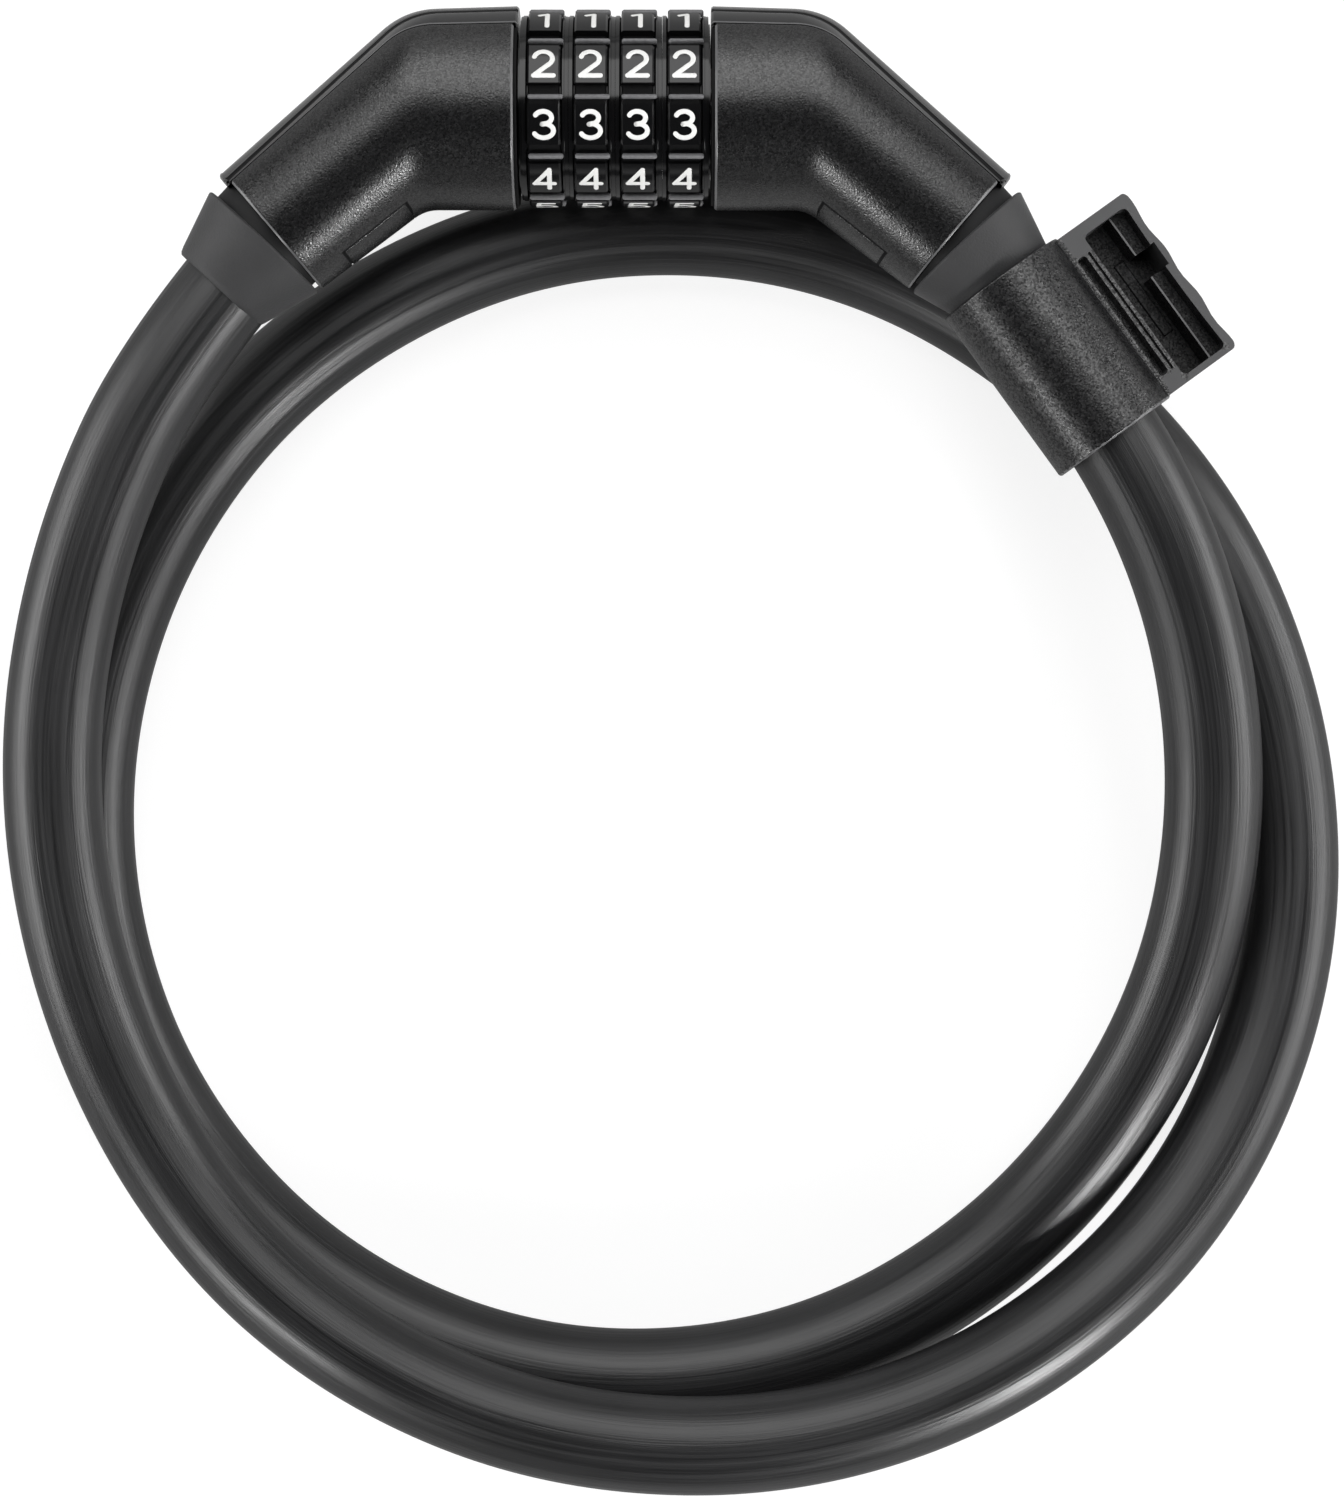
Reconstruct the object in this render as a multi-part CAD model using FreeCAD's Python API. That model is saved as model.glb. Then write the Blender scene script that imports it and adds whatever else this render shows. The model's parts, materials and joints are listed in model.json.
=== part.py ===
import FreeCAD, Part
import math
import os

# Bicycle cable lock with four number wheels, lying flat with its cable in two loose turns.
# Units are millimetres. The table is the plane z = 0, and +Y points from the middle of the
# turns towards the lock. The lock's own pieces are modelled about its centre, with X along
# the wheels' axis, and are then moved to LOCK_CENTRE.

V = FreeCAD.Vector

# Lock: where the middle of its wheels lies
LOCK_X = -9.6
LOCK_Y = 97.5
LOCK_HEIGHT = 26.0

# Running clearance between pieces that turn or slide on each other, and round a fixed pin
RUN = 0.05

# Number wheels
WHEEL_COUNT = 4
WHEEL_WIDTH = 6.6
WHEEL_GAP = 0.37
DIGITS = 10
PAD_RADIUS = 14.8
PAD_BAND = 4.96
PAD_HALF_ANGLE = 11.8
FLANGE_RADIUS = 13.9
FLANGE_BEVEL = 0.2
GROOVE_RADIUS = 13.7
GROOVE_ANGLE = 6.6
RIB_RADIUS = 14.45
RIB_SLOPE_ANGLE = 1.6
RIB_LAND_ANGLE = 1.7
STEP_RADIUS = 14.05

# Code rings inside the wheels
RING_RADIUS = 9.5
RING_WIDTH = 5.8
RING_WALL = 3.0
GATE_CLEARANCE = 0.25
KEY_WIDTH = 2.0
KEY_HEIGHT = 0.8
NOTCH_DEPTH = 0.5

# Barrel that the rings turn on, and the bolt inside it
BARREL_RADIUS = 6.0
BARREL_TAIL = 7.4
BARREL_NOSE = 3.0
BARREL_END_WALL = 0.5
BOLT_RADIUS = 3.5
BOLT_ROOT = 7.4
LUG_WIDTH = 2.4
LUG_THICKNESS = 2.1
LUG_REACH = 7.4
LUG_PLAY = 0.4
WASHER_THICKNESS = 0.4
WASHER_RADIUS = 12.6
SPRING_WIDTH = 2.4
SPRING_THICKNESS = 0.35
SPRING_SEAT = 4.75
BUMP_RADIUS = 0.8
BUMP_LENGTH = 2.2
PIN_RADIUS = 1.5
PIN_INSET = 4.6
PIN_BELOW_AXIS = 9.0

# Angled housings
END_GAP = 0.75
HOUSING_RADIUS = 15.3
HOUSING_BEVEL = 0.4
BEND_AT = 15.4
BEND_ANGLE = 40.5
BEND_STEPS = 8
ARM_LENGTH = 28.9
ARM_RADIUS = 12.8
MOUTH_RADIUS = 11.15
OUTER_ROUND = 18.0
INNER_ROUND = 3.0
COVER_DEPTH = 2.3
COVER_PROUD = 0.15
COVER_LIP = 0.8

# Cable, its steel rope, ferrules and boots
CABLE_DIAMETER = 15.0
CABLE_FLAT = 0.5
CABLE_INSET = 9.0
EXIT_ANGLE = 47.0
ROPE_RADIUS = 4.0
ROPE_IN_FERRULE = 7.2
FERRULE_RADIUS = 6.3
FERRULE_LENGTH = 8.4
FERRULE_PIN_RADIUS = 1.25
FERRULE_PIN_AT = 3.8
BOOT_GAP = 1.9
BOOT_NECK_RADIUS = 9.7
BOOT_RADIUS = 11.05
BOOT_NOSE_RADIUS = 7.95
BOOT_LENGTH = 10.1
BOOT_ROUND = 0.4

# Holder on the cable beside the right boot
HOLDER_ANGLE = 54.0
HOLDER_ROLL = -9.0
HOLDER_FROM_MOUTH = 9.7
HOLDER_LENGTH = 29.6
HOLDER_RADIUS = 10.3
HOLDER_BEVEL = 0.4
HOLDER_BORE = 8.75
HOLDER_MOUTH_BORE = 9.6
HOLDER_MOUTH_DEPTH = 3.0
LINER_START = 10.2
LINER_LENGTH = 15.0
HEAD_REACH = 22.9
HEAD_TOP = 5.0
HEAD_BOTTOM = -7.5
HEAD_ROUND = 1.2
POCKET_START = 1.7
POCKET_END = 28.0
POCKET_INNER = 14.0
POCKET_OUTER = 20.0
POCKET_WAIST = 18.6
POCKET_DEPTH = 7.5
LATCH_START = 9.2
LATCH_LENGTH = 4.0
SLOT_START = 3.8
SLOT_END = 26.2
SLOT_INNER = 11.0
SLOT_WIDTH = 1.6
SLOT_DEPTH = 2.5

# Route of the cable: from inside the right housing, once round on the inside, up the left and
# over the top beneath the lock, then once round on the outside and up into the left housing.
# Low stretches lie on the table, cut flat; the last one climbs over the first turn.
LOW = CABLE_DIAMETER / 2 - CABLE_FLAT
ROUTE_MIDDLE = [
    (84.0, -4.0, 20.0),
    (77.0, -43.0, 12.6),
    (53.8, -76.0, 8.0),
    (19.0, -96.4, LOW),
    (-22.0, -98.8, LOW),
    (-59.0, -82.6, LOW),
    (-85.0, -51.6, LOW),
    (-94.8, -12.2, LOW),
    (-87.1, 27.3, LOW),
    (-64.0, 60.1, LOW),
    (-27.8, 80.5, LOW),
    (11.5, 83.0, LOW),
    (46.5, 70.5, LOW),
    (79.2, 41.5, LOW),
    (95.0, 4.8, LOW),
    (96.0, -34.0, 8.0),
    (80.8, -69.8, 12.0),
    (52.9, -94.5, 17.5),
    (18.6, -106.6, 20.5),
    (-17.5, -105.6, 22.0),
    (-48.5, -93.4, 22.6),
    (-72.8, -72.4, 22.6),
    (-90.0, -41.0, 22.6),
    (-97.0, -5.0, 22.6),
    (-91.6, 30.5, 24.0),
]
LEFT_LAST_TURN = 22.0
HOLDER_RUN = 43.9


# Sizes that follow from the ones above
LOCK_CENTRE = V(LOCK_X, LOCK_Y, LOCK_HEIGHT)
STACK_HALF = (WHEEL_COUNT * WHEEL_WIDTH + (WHEEL_COUNT - 1) * WHEEL_GAP) / 2
FACE = STACK_HALF + END_GAP
WHEEL_PITCH = WHEEL_WIDTH + WHEEL_GAP
WHEELS = [WHEEL_PITCH * (n - (WHEEL_COUNT - 1) / 2) for n in range(WHEEL_COUNT)]
CABLE_RADIUS = CABLE_DIAMETER / 2
BOLT_BORE = BOLT_RADIUS + 2 * RUN
RING_BORE = BARREL_RADIUS + RUN
GATE_RADIUS = LUG_REACH + GATE_CLEARANCE
GATE_WIDTH = LUG_WIDTH + 2 * GATE_CLEARANCE
BOLT_TIP = -STACK_HALF + BARREL_END_WALL / 2
TAPER = math.degrees(math.atan((ARM_RADIUS - MOUTH_RADIUS) / ARM_LENGTH))


def heading(angle):
    """Direction in the table's plane, the given number of degrees below +X."""
    turn = math.radians(angle)
    return V(math.cos(turn), -math.sin(turn), 0)


def outward(angle):
    """Direction at right angles to heading(angle), on the outer side of the bend."""
    turn = math.radians(angle)
    return V(math.sin(turn), math.cos(turn), 0)


BEND = V(FACE + BEND_AT, 0, 0)
MOUTH = BEND + heading(BEND_ANGLE) * ARM_LENGTH


def box(low, high):
    """Box between two opposite corners."""
    size = V(*high) - V(*low)
    return Part.makeBox(size.x, size.y, size.z, V(*low))


def rod(radius, start, end):
    """Cylinder between two points."""
    along = end - start
    return Part.makeCylinder(radius, along.Length, start, along)


def turned(outline):
    """Solid turned about X from a closed outline of (x, radius) points."""
    points = [V(x, radius, 0) for x, radius in outline]
    face = Part.Face(Part.makePolygon(points + points[:1]))
    return face.revolve(V(0, 0, 0), V(1, 0, 0), 360)


def tube(inner, outer, start, end):
    """Plain ring about X."""
    return turned([(start, inner), (start, outer), (end, outer), (end, inner)])


def mirrored(shape):
    """The same piece for the left half of the lock."""
    return shape.mirror(V(0, 0, 0), V(1, 0, 0))


def at_exit(shape):
    """Move a piece made along +X from the origin to the mouth, along the cable's way out."""
    moved = shape.copy()
    moved.rotate(V(0, 0, 0), V(0, 0, 1), -EXIT_ANGLE)
    moved.translate(MOUTH)
    return moved


# Angled housing: circles and ovals that fan out from the inside of the bend


class Elbow:
    """Outline of the bend, seen from above, grown outwards by a given amount."""

    def __init__(self, grow):
        self.radius = HOUSING_RADIUS + grow
        self.arm_radius = ARM_RADIUS + grow
        self.mouth_radius = MOUTH_RADIUS + grow
        self.round = OUTER_ROUND + grow
        outer_turn = BEND_ANGLE + TAPER
        inner_turn = BEND_ANGLE - TAPER
        corner = self.crossing(1, outer_turn)
        self.round_start = corner - self.round * math.tan(math.radians(outer_turn / 2))
        self.round_centre = V(self.round_start, self.radius - self.round, 0)
        self.outer_turn = outer_turn
        inner_round = INNER_ROUND - grow
        inner_corner = self.crossing(-1, inner_turn)
        fan_x = inner_corner - inner_round * math.tan(math.radians(inner_turn / 2))
        self.fan = V(fan_x, -self.radius - inner_round, 0)
        self.inner_round = inner_round
        self.inner_turn = inner_turn

    def arm_edge(self, side):
        """Point on the arm's outer (side 1) or inner (side -1) edge beside the bend."""
        return BEND + outward(BEND_ANGLE) * self.arm_radius * side

    def crossing(self, side, turn):
        """Where the arm's edge, carried on, meets the straight part's edge."""
        start = self.arm_edge(side)
        drop = start.y - side * self.radius
        return start.x + drop / math.tan(math.radians(turn))

    def on_line(self, way, side, turn):
        """Distance from the fan's centre to the arm's edge, along a direction."""
        edge = heading(turn)
        start = self.arm_edge(side) - self.fan
        return (start.x * edge.y - start.y * edge.x) / (way.x * edge.y - way.y * edge.x)

    def reach(self, angle):
        """Nearest and furthest distance of the housing from the fan's centre."""
        way = outward(angle)
        near = self.inner_round
        if angle > self.inner_turn:
            near = self.on_line(way, -1, self.inner_turn)
        line = self.on_line(way, 1, self.outer_turn)
        to_round = self.round_centre - self.fan
        along = to_round.dot(way)
        arc = along + math.sqrt(along**2 - to_round.dot(to_round) + self.round**2)
        touch = self.round_centre + outward(self.outer_turn) * self.round
        past_round = (self.fan + way * line).x > touch.x
        return near, line if past_round else arc

    def oval(self, centre, way, half, depth):
        """Closed section: half its width along way, half its depth along Z."""
        ring = Part.makeCircle(1, V(0, 0, 0), V(0, 0, 1))
        across = way.cross(V(0, 0, 1))
        fit = FreeCAD.Matrix(
            way.x * half, 0, across.x, centre.x,
            way.y * half, 0, across.y, centre.y,
            0, depth, 0, centre.z,
            0, 0, 0, 1,
        )
        return Part.Wire(ring.transformGeometry(fit).Edges)

    def whole(self, lip):
        """Straight part, bend and arm as one solid; the arm is carried on by lip."""
        near_mouth = self.round_start - INNER_ROUND
        straight = turned([
            (FACE, 0),
            (FACE, self.radius - HOUSING_BEVEL),
            (FACE + HOUSING_BEVEL, self.radius),
            (near_mouth, self.radius),
            (near_mouth, 0),
        ])
        near, far = self.reach(BEND_ANGLE)
        arm_depth = (far - near) / 2
        rings = [self.oval(V(x, 0, 0), V(0, 1, 0), self.radius, self.radius)
                 for x in (near_mouth, self.round_start)]
        for step in range(BEND_STEPS + 1):
            share = step / BEND_STEPS
            near, far = self.reach(BEND_ANGLE * share)
            way = outward(BEND_ANGLE * share)
            depth = self.radius * (1 - share) + arm_depth * share
            rings.append(self.oval(self.fan + way * (near + far) / 2, way, (far - near) / 2, depth))
        end_radius = self.mouth_radius - lip * math.tan(math.radians(TAPER))
        end = MOUTH + heading(BEND_ANGLE) * lip
        rings.append(self.oval(end, outward(BEND_ANGLE), end_radius, end_radius))
        return straight.fuse(Part.makeLoft(rings, True, True))

    def beyond_seat(self):
        """Everything on the outer side of the flat seat that the cover lies on."""
        seat_round = self.round - COVER_DEPTH
        level = self.radius - COVER_DEPTH
        touch = self.round_centre + outward(self.outer_turn) * seat_round
        middle = self.round_centre + outward(self.outer_turn / 2) * seat_round
        start = V(FACE - HOUSING_RADIUS, level, 0)
        turn_in = V(self.round_start, level, 0)
        end = touch + heading(self.outer_turn) * 2 * ARM_LENGTH
        away = outward(self.outer_turn) * 2 * HOUSING_RADIUS
        edges = [
            Part.LineSegment(start, turn_in).toShape(),
            Part.Arc(turn_in, middle, touch).toShape(),
            Part.LineSegment(touch, end).toShape(),
            Part.LineSegment(end, end + away).toShape(),
            Part.LineSegment(end + away, start + V(0, 2 * HOUSING_RADIUS, 0)).toShape(),
            Part.LineSegment(start + V(0, 2 * HOUSING_RADIUS, 0), start).toShape(),
        ]
        face = Part.Face(Part.Wire(edges))
        face.translate(V(0, 0, -2 * HOUSING_RADIUS))
        return face.extrude(V(0, 0, 4 * HOUSING_RADIUS))


def pin_down(x, radius, top):
    """Cross pin along Y, pushed in from the seat under the cover."""
    return rod(radius, V(x, top, 0), V(x, -PIN_BELOW_AXIS, 0))


def ferrule_pin(radius, top):
    """Cross pin through the ferrule, square to the cable's way out."""
    middle = MOUTH - heading(EXIT_ANGLE) * (CABLE_INSET + FERRULE_PIN_AT)
    side = outward(EXIT_ANGLE)
    return rod(radius, middle + side * top, middle - side * (FERRULE_RADIUS + PIN_RADIUS))


def housing(bore):
    """Right housing with its seat for the cover, the ferrule's bore and the one given."""
    plain = Elbow(0)
    shell = plain.whole(0).cut(plain.beyond_seat())
    depth = CABLE_INSET + FERRULE_LENGTH
    cutters = [
        bore,
        at_exit(rod(CABLE_RADIUS + RUN, V(-CABLE_INSET, 0, 0), V(CABLE_INSET, 0, 0))),
        at_exit(rod(FERRULE_RADIUS + RUN, V(-depth, 0, 0), V(0, 0, 0))),
        ferrule_pin(FERRULE_PIN_RADIUS + RUN, 2 * HOUSING_RADIUS),
        pin_down(FACE + PIN_INSET, PIN_RADIUS + RUN, 2 * HOUSING_RADIUS),
    ]
    for cutter in cutters:
        shell = shell.cut(cutter)
    return shell


def plug_shell():
    nose = rod(BARREL_RADIUS + 2 * GATE_CLEARANCE, V(FACE - 1, 0, 0), V(FACE + BARREL_NOSE, 0, 0))
    root = rod(BOLT_RADIUS + RUN, V(FACE - 1, 0, 0), V(FACE + BOLT_ROOT, 0, 0))
    return housing(nose.fuse(root))


def body_shell():
    return mirrored(housing(rod(BARREL_RADIUS + RUN, V(FACE - 1, 0, 0), V(FACE + BARREL_TAIL, 0, 0))))


def cover():
    """Glossy strip along the outer side, lying on the housing's flat seat."""
    strip = Elbow(COVER_PROUD).whole(COVER_LIP).common(Elbow(0).beyond_seat())
    neck = rod(BOOT_NECK_RADIUS + RUN, V(-BOOT_NECK_RADIUS, 0, 0), V(BOOT_NECK_RADIUS, 0, 0))
    return strip.cut(at_exit(neck))


def cross_pin():
    return pin_down(FACE + PIN_INSET, PIN_RADIUS, HOUSING_RADIUS - COVER_DEPTH - RUN)


def ferrule_cross_pin():
    """Its head stays below the cover's seat."""
    seat = Elbow(0).beyond_seat()
    return ferrule_pin(FERRULE_PIN_RADIUS, HOUSING_RADIUS).cut(seat)


def rope_end():
    """Steel rope, bare of its sheath, in the ferrule."""
    stub = at_exit(rod(ROPE_RADIUS, V(-CABLE_INSET - ROPE_IN_FERRULE, 0, 0), V(-CABLE_INSET, 0, 0)))
    return stub.cut(ferrule_pin(FERRULE_PIN_RADIUS + RUN, HOUSING_RADIUS))


def ferrule():
    """Steel cup pressed onto the rope's end, with a cross hole for its pin."""
    start = -CABLE_INSET - FERRULE_LENGTH
    bevel = FERRULE_RADIUS - ROPE_RADIUS
    bore = ROPE_RADIUS + RUN
    cup = turned([
        (start, 0),
        (start, FERRULE_RADIUS - bevel / 2),
        (start + bevel / 2, FERRULE_RADIUS),
        (-CABLE_INSET, FERRULE_RADIUS),
        (-CABLE_INSET, bore),
        (-CABLE_INSET - ROPE_IN_FERRULE - RUN, bore),
        (-CABLE_INSET - ROPE_IN_FERRULE - RUN, 0),
    ])
    return at_exit(cup).cut(ferrule_pin(FERRULE_PIN_RADIUS + RUN, HOUSING_RADIUS))


def boot(cable_bore):
    """Flared rubber boot: a cone on a neck whose back lies flat on the slanted mouth."""
    sleeve = turned([
        (-BOOT_NECK_RADIUS, 0),
        (-BOOT_NECK_RADIUS, BOOT_NECK_RADIUS),
        (BOOT_GAP, BOOT_NECK_RADIUS),
        (BOOT_GAP, BOOT_RADIUS - BOOT_ROUND),
        (BOOT_GAP + BOOT_ROUND, BOOT_RADIUS),
        (BOOT_GAP + BOOT_LENGTH, BOOT_NOSE_RADIUS),
        (BOOT_GAP + BOOT_LENGTH, 0),
    ])
    sleeve = at_exit(sleeve)
    back = box((-4 * BOOT_RADIUS, -2 * BOOT_RADIUS, -2 * BOOT_RADIUS), (0, 2 * BOOT_RADIUS, 2 * BOOT_RADIUS))
    back.rotate(V(0, 0, 0), V(0, 0, 1), -BEND_ANGLE)
    back.translate(MOUTH)
    return sleeve.cut(back).cut(cable_bore)


# Number wheels, code rings and what they turn on


def wheel_point(radius, angle):
    """Point in the wheel's plane; 90 degrees is the reading line, on the outer side."""
    turn = math.radians(angle)
    return V(0, radius * math.sin(turn), radius * math.cos(turn))


def pad_outline():
    """Ten digit pads, with a groove, a rib and a step under each."""
    edges = []
    step = 360 / DIGITS
    for digit in range(DIGITS):
        top = 90 - step * digit
        groove = top - PAD_HALF_ANGLE
        rib = groove - GROOVE_ANGLE
        land = rib - RIB_SLOPE_ANGLE
        fall = land - RIB_LAND_ANGLE
        end = top - step + PAD_HALF_ANGLE
        pad_start = wheel_point(PAD_RADIUS, top + PAD_HALF_ANGLE)
        pad_middle = wheel_point(PAD_RADIUS, top)
        edges.append(Part.Arc(pad_start, pad_middle, wheel_point(PAD_RADIUS, groove)).toShape())
        corners = [
            wheel_point(PAD_RADIUS, groove),
            wheel_point(GROOVE_RADIUS, groove),
            wheel_point(GROOVE_RADIUS, rib),
            wheel_point(RIB_RADIUS, land),
            wheel_point(RIB_RADIUS, fall),
            wheel_point(STEP_RADIUS, fall - RIB_SLOPE_ANGLE / 4),
            wheel_point(STEP_RADIUS, end),
            wheel_point(PAD_RADIUS, end),
        ]
        edges += [Part.LineSegment(a, b).toShape() for a, b in zip(corners, corners[1:])]
    return Part.Wire(edges)


def dial(x):
    """One number wheel, with low flanges beside its pads and a keyway in its bore."""
    half = WHEEL_WIDTH / 2
    band = PAD_BAND / 2
    bore = RING_RADIUS + RUN
    hub = turned([
        (-half, bore),
        (-half, FLANGE_RADIUS - FLANGE_BEVEL),
        (-half + FLANGE_BEVEL, FLANGE_RADIUS),
        (-band, FLANGE_RADIUS),
        (-band, GROOVE_RADIUS - FLANGE_BEVEL),
        (band, GROOVE_RADIUS - FLANGE_BEVEL),
        (band, FLANGE_RADIUS),
        (half - FLANGE_BEVEL, FLANGE_RADIUS),
        (half, FLANGE_RADIUS - FLANGE_BEVEL),
        (half, bore),
    ])
    pads = Part.Face(pad_outline()).extrude(V(PAD_BAND, 0, 0))
    pads.translate(V(-band, 0, 0))
    pads = pads.cut(rod(FLANGE_RADIUS - 2 * FLANGE_BEVEL - RUN, V(-half, 0, 0), V(half, 0, 0)))
    keyway = box(
        (-half - 1, -RING_RADIUS - KEY_HEIGHT - RUN, -KEY_WIDTH / 2 - RUN),
        (half + 1, -RING_RADIUS / 2, KEY_WIDTH / 2 + RUN),
    )
    keyway = keyway.cut(rod(bore / 2, V(-WHEEL_WIDTH, 0, 0), V(WHEEL_WIDTH, 0, 0)))
    wheel = hub.fuse(pads).cut(keyway)
    wheel.translate(V(x, 0, 0))
    return wheel


def code_ring(x):
    """Ring with a pocket for the lug, a wall with the gate in it, and ten click notches."""
    half = RING_WIDTH / 2
    wall = half - RING_WALL
    ring = turned([
        (-half, GATE_RADIUS),
        (-half, RING_RADIUS),
        (half, RING_RADIUS),
        (half, RING_BORE),
        (wall, RING_BORE),
        (wall, GATE_RADIUS),
    ])
    ring = ring.cut(box((-half, -GATE_WIDTH / 2, 0), (half + 1, GATE_WIDTH / 2, GATE_RADIUS)))
    key = box(
        (-half, -RING_RADIUS - KEY_HEIGHT, -KEY_WIDTH / 2),
        (half, -RING_RADIUS + KEY_HEIGHT, KEY_WIDTH / 2),
    )
    ring = ring.fuse(key)
    notch_centre = RING_BORE + NOTCH_DEPTH - BUMP_RADIUS - RUN
    notch = rod(BUMP_RADIUS + RUN, V(wall - 1, 0, -notch_centre), V(half + 1, 0, -notch_centre))
    for digit in range(DIGITS):
        cutter = notch.copy()
        cutter.rotate(V(0, 0, 0), V(1, 0, 0), digit * 360 / DIGITS)
        ring = ring.cut(cutter)
    ring.translate(V(x, 0, 0))
    return ring


def code_barrel():
    """Slotted tube that the rings turn on; its solid tail is pinned in the left housing."""
    tail = -FACE - BARREL_TAIL
    nose = FACE + BARREL_NOSE - RUN
    barrel = rod(BARREL_RADIUS, V(tail, 0, 0), V(nose, 0, 0))
    barrel = barrel.cut(rod(BOLT_BORE, V(BOLT_TIP - RUN, 0, 0), V(nose + 1, 0, 0)))
    slot = box((BOLT_TIP - RUN, -GATE_WIDTH / 2, 0), (nose + 1, GATE_WIDTH / 2, LUG_REACH))
    groove_half = SPRING_WIDTH / 2 + RUN
    groove = box(
        (-STACK_HALF + RUN, -groove_half, -BARREL_RADIUS - 1),
        (STACK_HALF - RUN, groove_half, -SPRING_SEAT + RUN),
    )
    pin_hole = mirrored(pin_down(FACE + PIN_INSET, PIN_RADIUS + RUN, HOUSING_RADIUS))
    return barrel.cut(slot).cut(groove).cut(pin_hole)


def click_spring():
    """Spring strip in the barrel's groove, with one rounded bump for each ring's notches."""
    half = SPRING_WIDTH / 2
    length = STACK_HALF - 2 * RUN
    strip = box((-length, -half, -SPRING_SEAT - SPRING_THICKNESS), (length, half, -SPRING_SEAT))
    centre = RING_BORE + NOTCH_DEPTH - BUMP_RADIUS - 2 * RUN
    for x in WHEELS:
        middle = x + (RING_WIDTH - RING_WALL) / 2
        bump = rod(BUMP_RADIUS, V(middle - BUMP_LENGTH / 2, 0, -centre), V(middle + BUMP_LENGTH / 2, 0, -centre))
        strip = strip.fuse(bump)
    above = box((-2 * length, -2 * half, -SPRING_SEAT), (2 * length, 2 * half, 0))
    return strip.cut(above).removeSplitter()


def end_washers():
    """Thin rings between the wheels and the two housings, with a way for the bolt's lugs."""
    gap = (END_GAP - WASHER_THICKNESS) / 2
    start = STACK_HALF + gap
    washer = tube(BARREL_RADIUS + RUN, WASHER_RADIUS, start, start + WASHER_THICKNESS)
    washer = washer.cut(box((STACK_HALF, -GATE_WIDTH / 2, 0), (FACE, GATE_WIDTH / 2, GATE_RADIUS)))
    return Part.makeCompound([washer, mirrored(washer)])


def locking_bolt():
    """Round bolt with one lug for each ring; its root is pinned in the right housing."""
    bolt = turned([
        (BOLT_TIP, 0),
        (BOLT_TIP, BOLT_RADIUS - HOUSING_BEVEL),
        (BOLT_TIP + HOUSING_BEVEL, BOLT_RADIUS),
        (FACE + BOLT_ROOT, BOLT_RADIUS),
        (FACE + BOLT_ROOT, 0),
    ])
    for x in WHEELS:
        stop = x + RING_WIDTH / 2 - RING_WALL - LUG_PLAY
        lug = box((stop - LUG_THICKNESS, -LUG_WIDTH / 2, 0), (stop, LUG_WIDTH / 2, LUG_REACH))
        bolt = bolt.fuse(lug)
    hole = pin_down(FACE + PIN_INSET, PIN_RADIUS + RUN, HOUSING_RADIUS)
    return bolt.cut(hole).removeSplitter()


# Cable: straight runs joined by tangent arcs


def route_points():
    """All points of the route, in place; the two ends follow from the lock and the holder."""
    right_mouth = LOCK_CENTRE + MOUTH
    left_mouth = LOCK_CENTRE + V(-MOUTH.x, MOUTH.y, 0)
    right_way = heading(EXIT_ANGLE)
    left_way = V(-right_way.x, right_way.y, 0)
    first = right_mouth - right_way * CABLE_INSET
    holder = right_mouth + right_way * HOLDER_FROM_MOUTH
    after_holder = holder + heading(HOLDER_ANGLE) * HOLDER_RUN
    last_turn = left_mouth + left_way * LEFT_LAST_TURN
    last = left_mouth - left_way * CABLE_INSET
    middle = [V(*point) for point in ROUTE_MIDDLE]
    return [first, holder, after_holder] + middle + [last_turn, last]


def rounded(before, corner, after):
    """Start, middle and end of the arc at a corner, and its radius."""
    back = before - corner
    on = after - corner
    length = 0.45 * min(back.Length, on.Length)
    back.normalize()
    on.normalize()
    turn = math.pi - back.getAngle(on)
    radius = length / math.tan(turn / 2)
    inwards = back + on
    inwards.normalize()
    middle = corner + inwards * (radius / math.cos(turn / 2) - radius)
    return corner + back * length, middle, corner + on * length, radius


def route_edges(points):
    """Edges of the path, the radii of its arcs, and points along it."""
    edges = []
    radii = []
    at = points[0]
    for before, corner, after in zip(points, points[1:], points[2:]):
        start, middle, end, radius = rounded(before, corner, after)
        edges.append(Part.LineSegment(at, start).toShape())
        edges.append(Part.Arc(start, middle, end).toShape())
        radii.append(radius)
        at = end
    edges.append(Part.LineSegment(at, points[-1]).toShape())
    return edges, radii


def pipe(points, radius):
    """Round tube along the route."""
    path = Part.Wire(route_edges(points)[0])
    ring = Part.Wire(Part.makeCircle(radius, points[0], points[1] - points[0]))
    return path.makePipeShell([ring], True, False)


def least_gap(edges):
    """Least distance between stretches of the cable that are not neighbours, less its width."""
    samples = []
    length = 0.0
    for edge in edges:
        count = max(2, int(edge.Length / 3))
        for point in edge.discretize(count)[:-1]:
            samples.append((length + (point - edge.Vertexes[0].Point).Length, point))
        length += edge.Length
    least = None
    for index, (along, point) in enumerate(samples):
        for other_along, other in samples[index + 1:]:
            if other_along - along > 6 * CABLE_DIAMETER:
                gap = (other - point).Length - CABLE_DIAMETER
                least = gap if least is None else min(least, gap)
    return least


def cable_sheath(points):
    """The whole cable in one piece, cut flat where it lies on the table."""
    edges, radii = route_edges(points)
    cable = pipe(points, CABLE_RADIUS)
    length = sum(edge.Length for edge in edges)
    section = math.pi * CABLE_RADIUS**2
    print("cable length", round(length, 1), "least radius", round(min(radii), 1))
    print("arc radii", [round(radius) for radius in radii])
    print("volume over section times length", round(cable.Volume / (section * length), 5))
    print("least gap of the cable to itself", round(least_gap(edges), 2))
    span = 4 * CABLE_DIAMETER + max(abs(point.x) + abs(point.y) for point in points)
    below = box((-span, -span, -CABLE_DIAMETER), (span, span, 0))
    return cable.cut(below)


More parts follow.
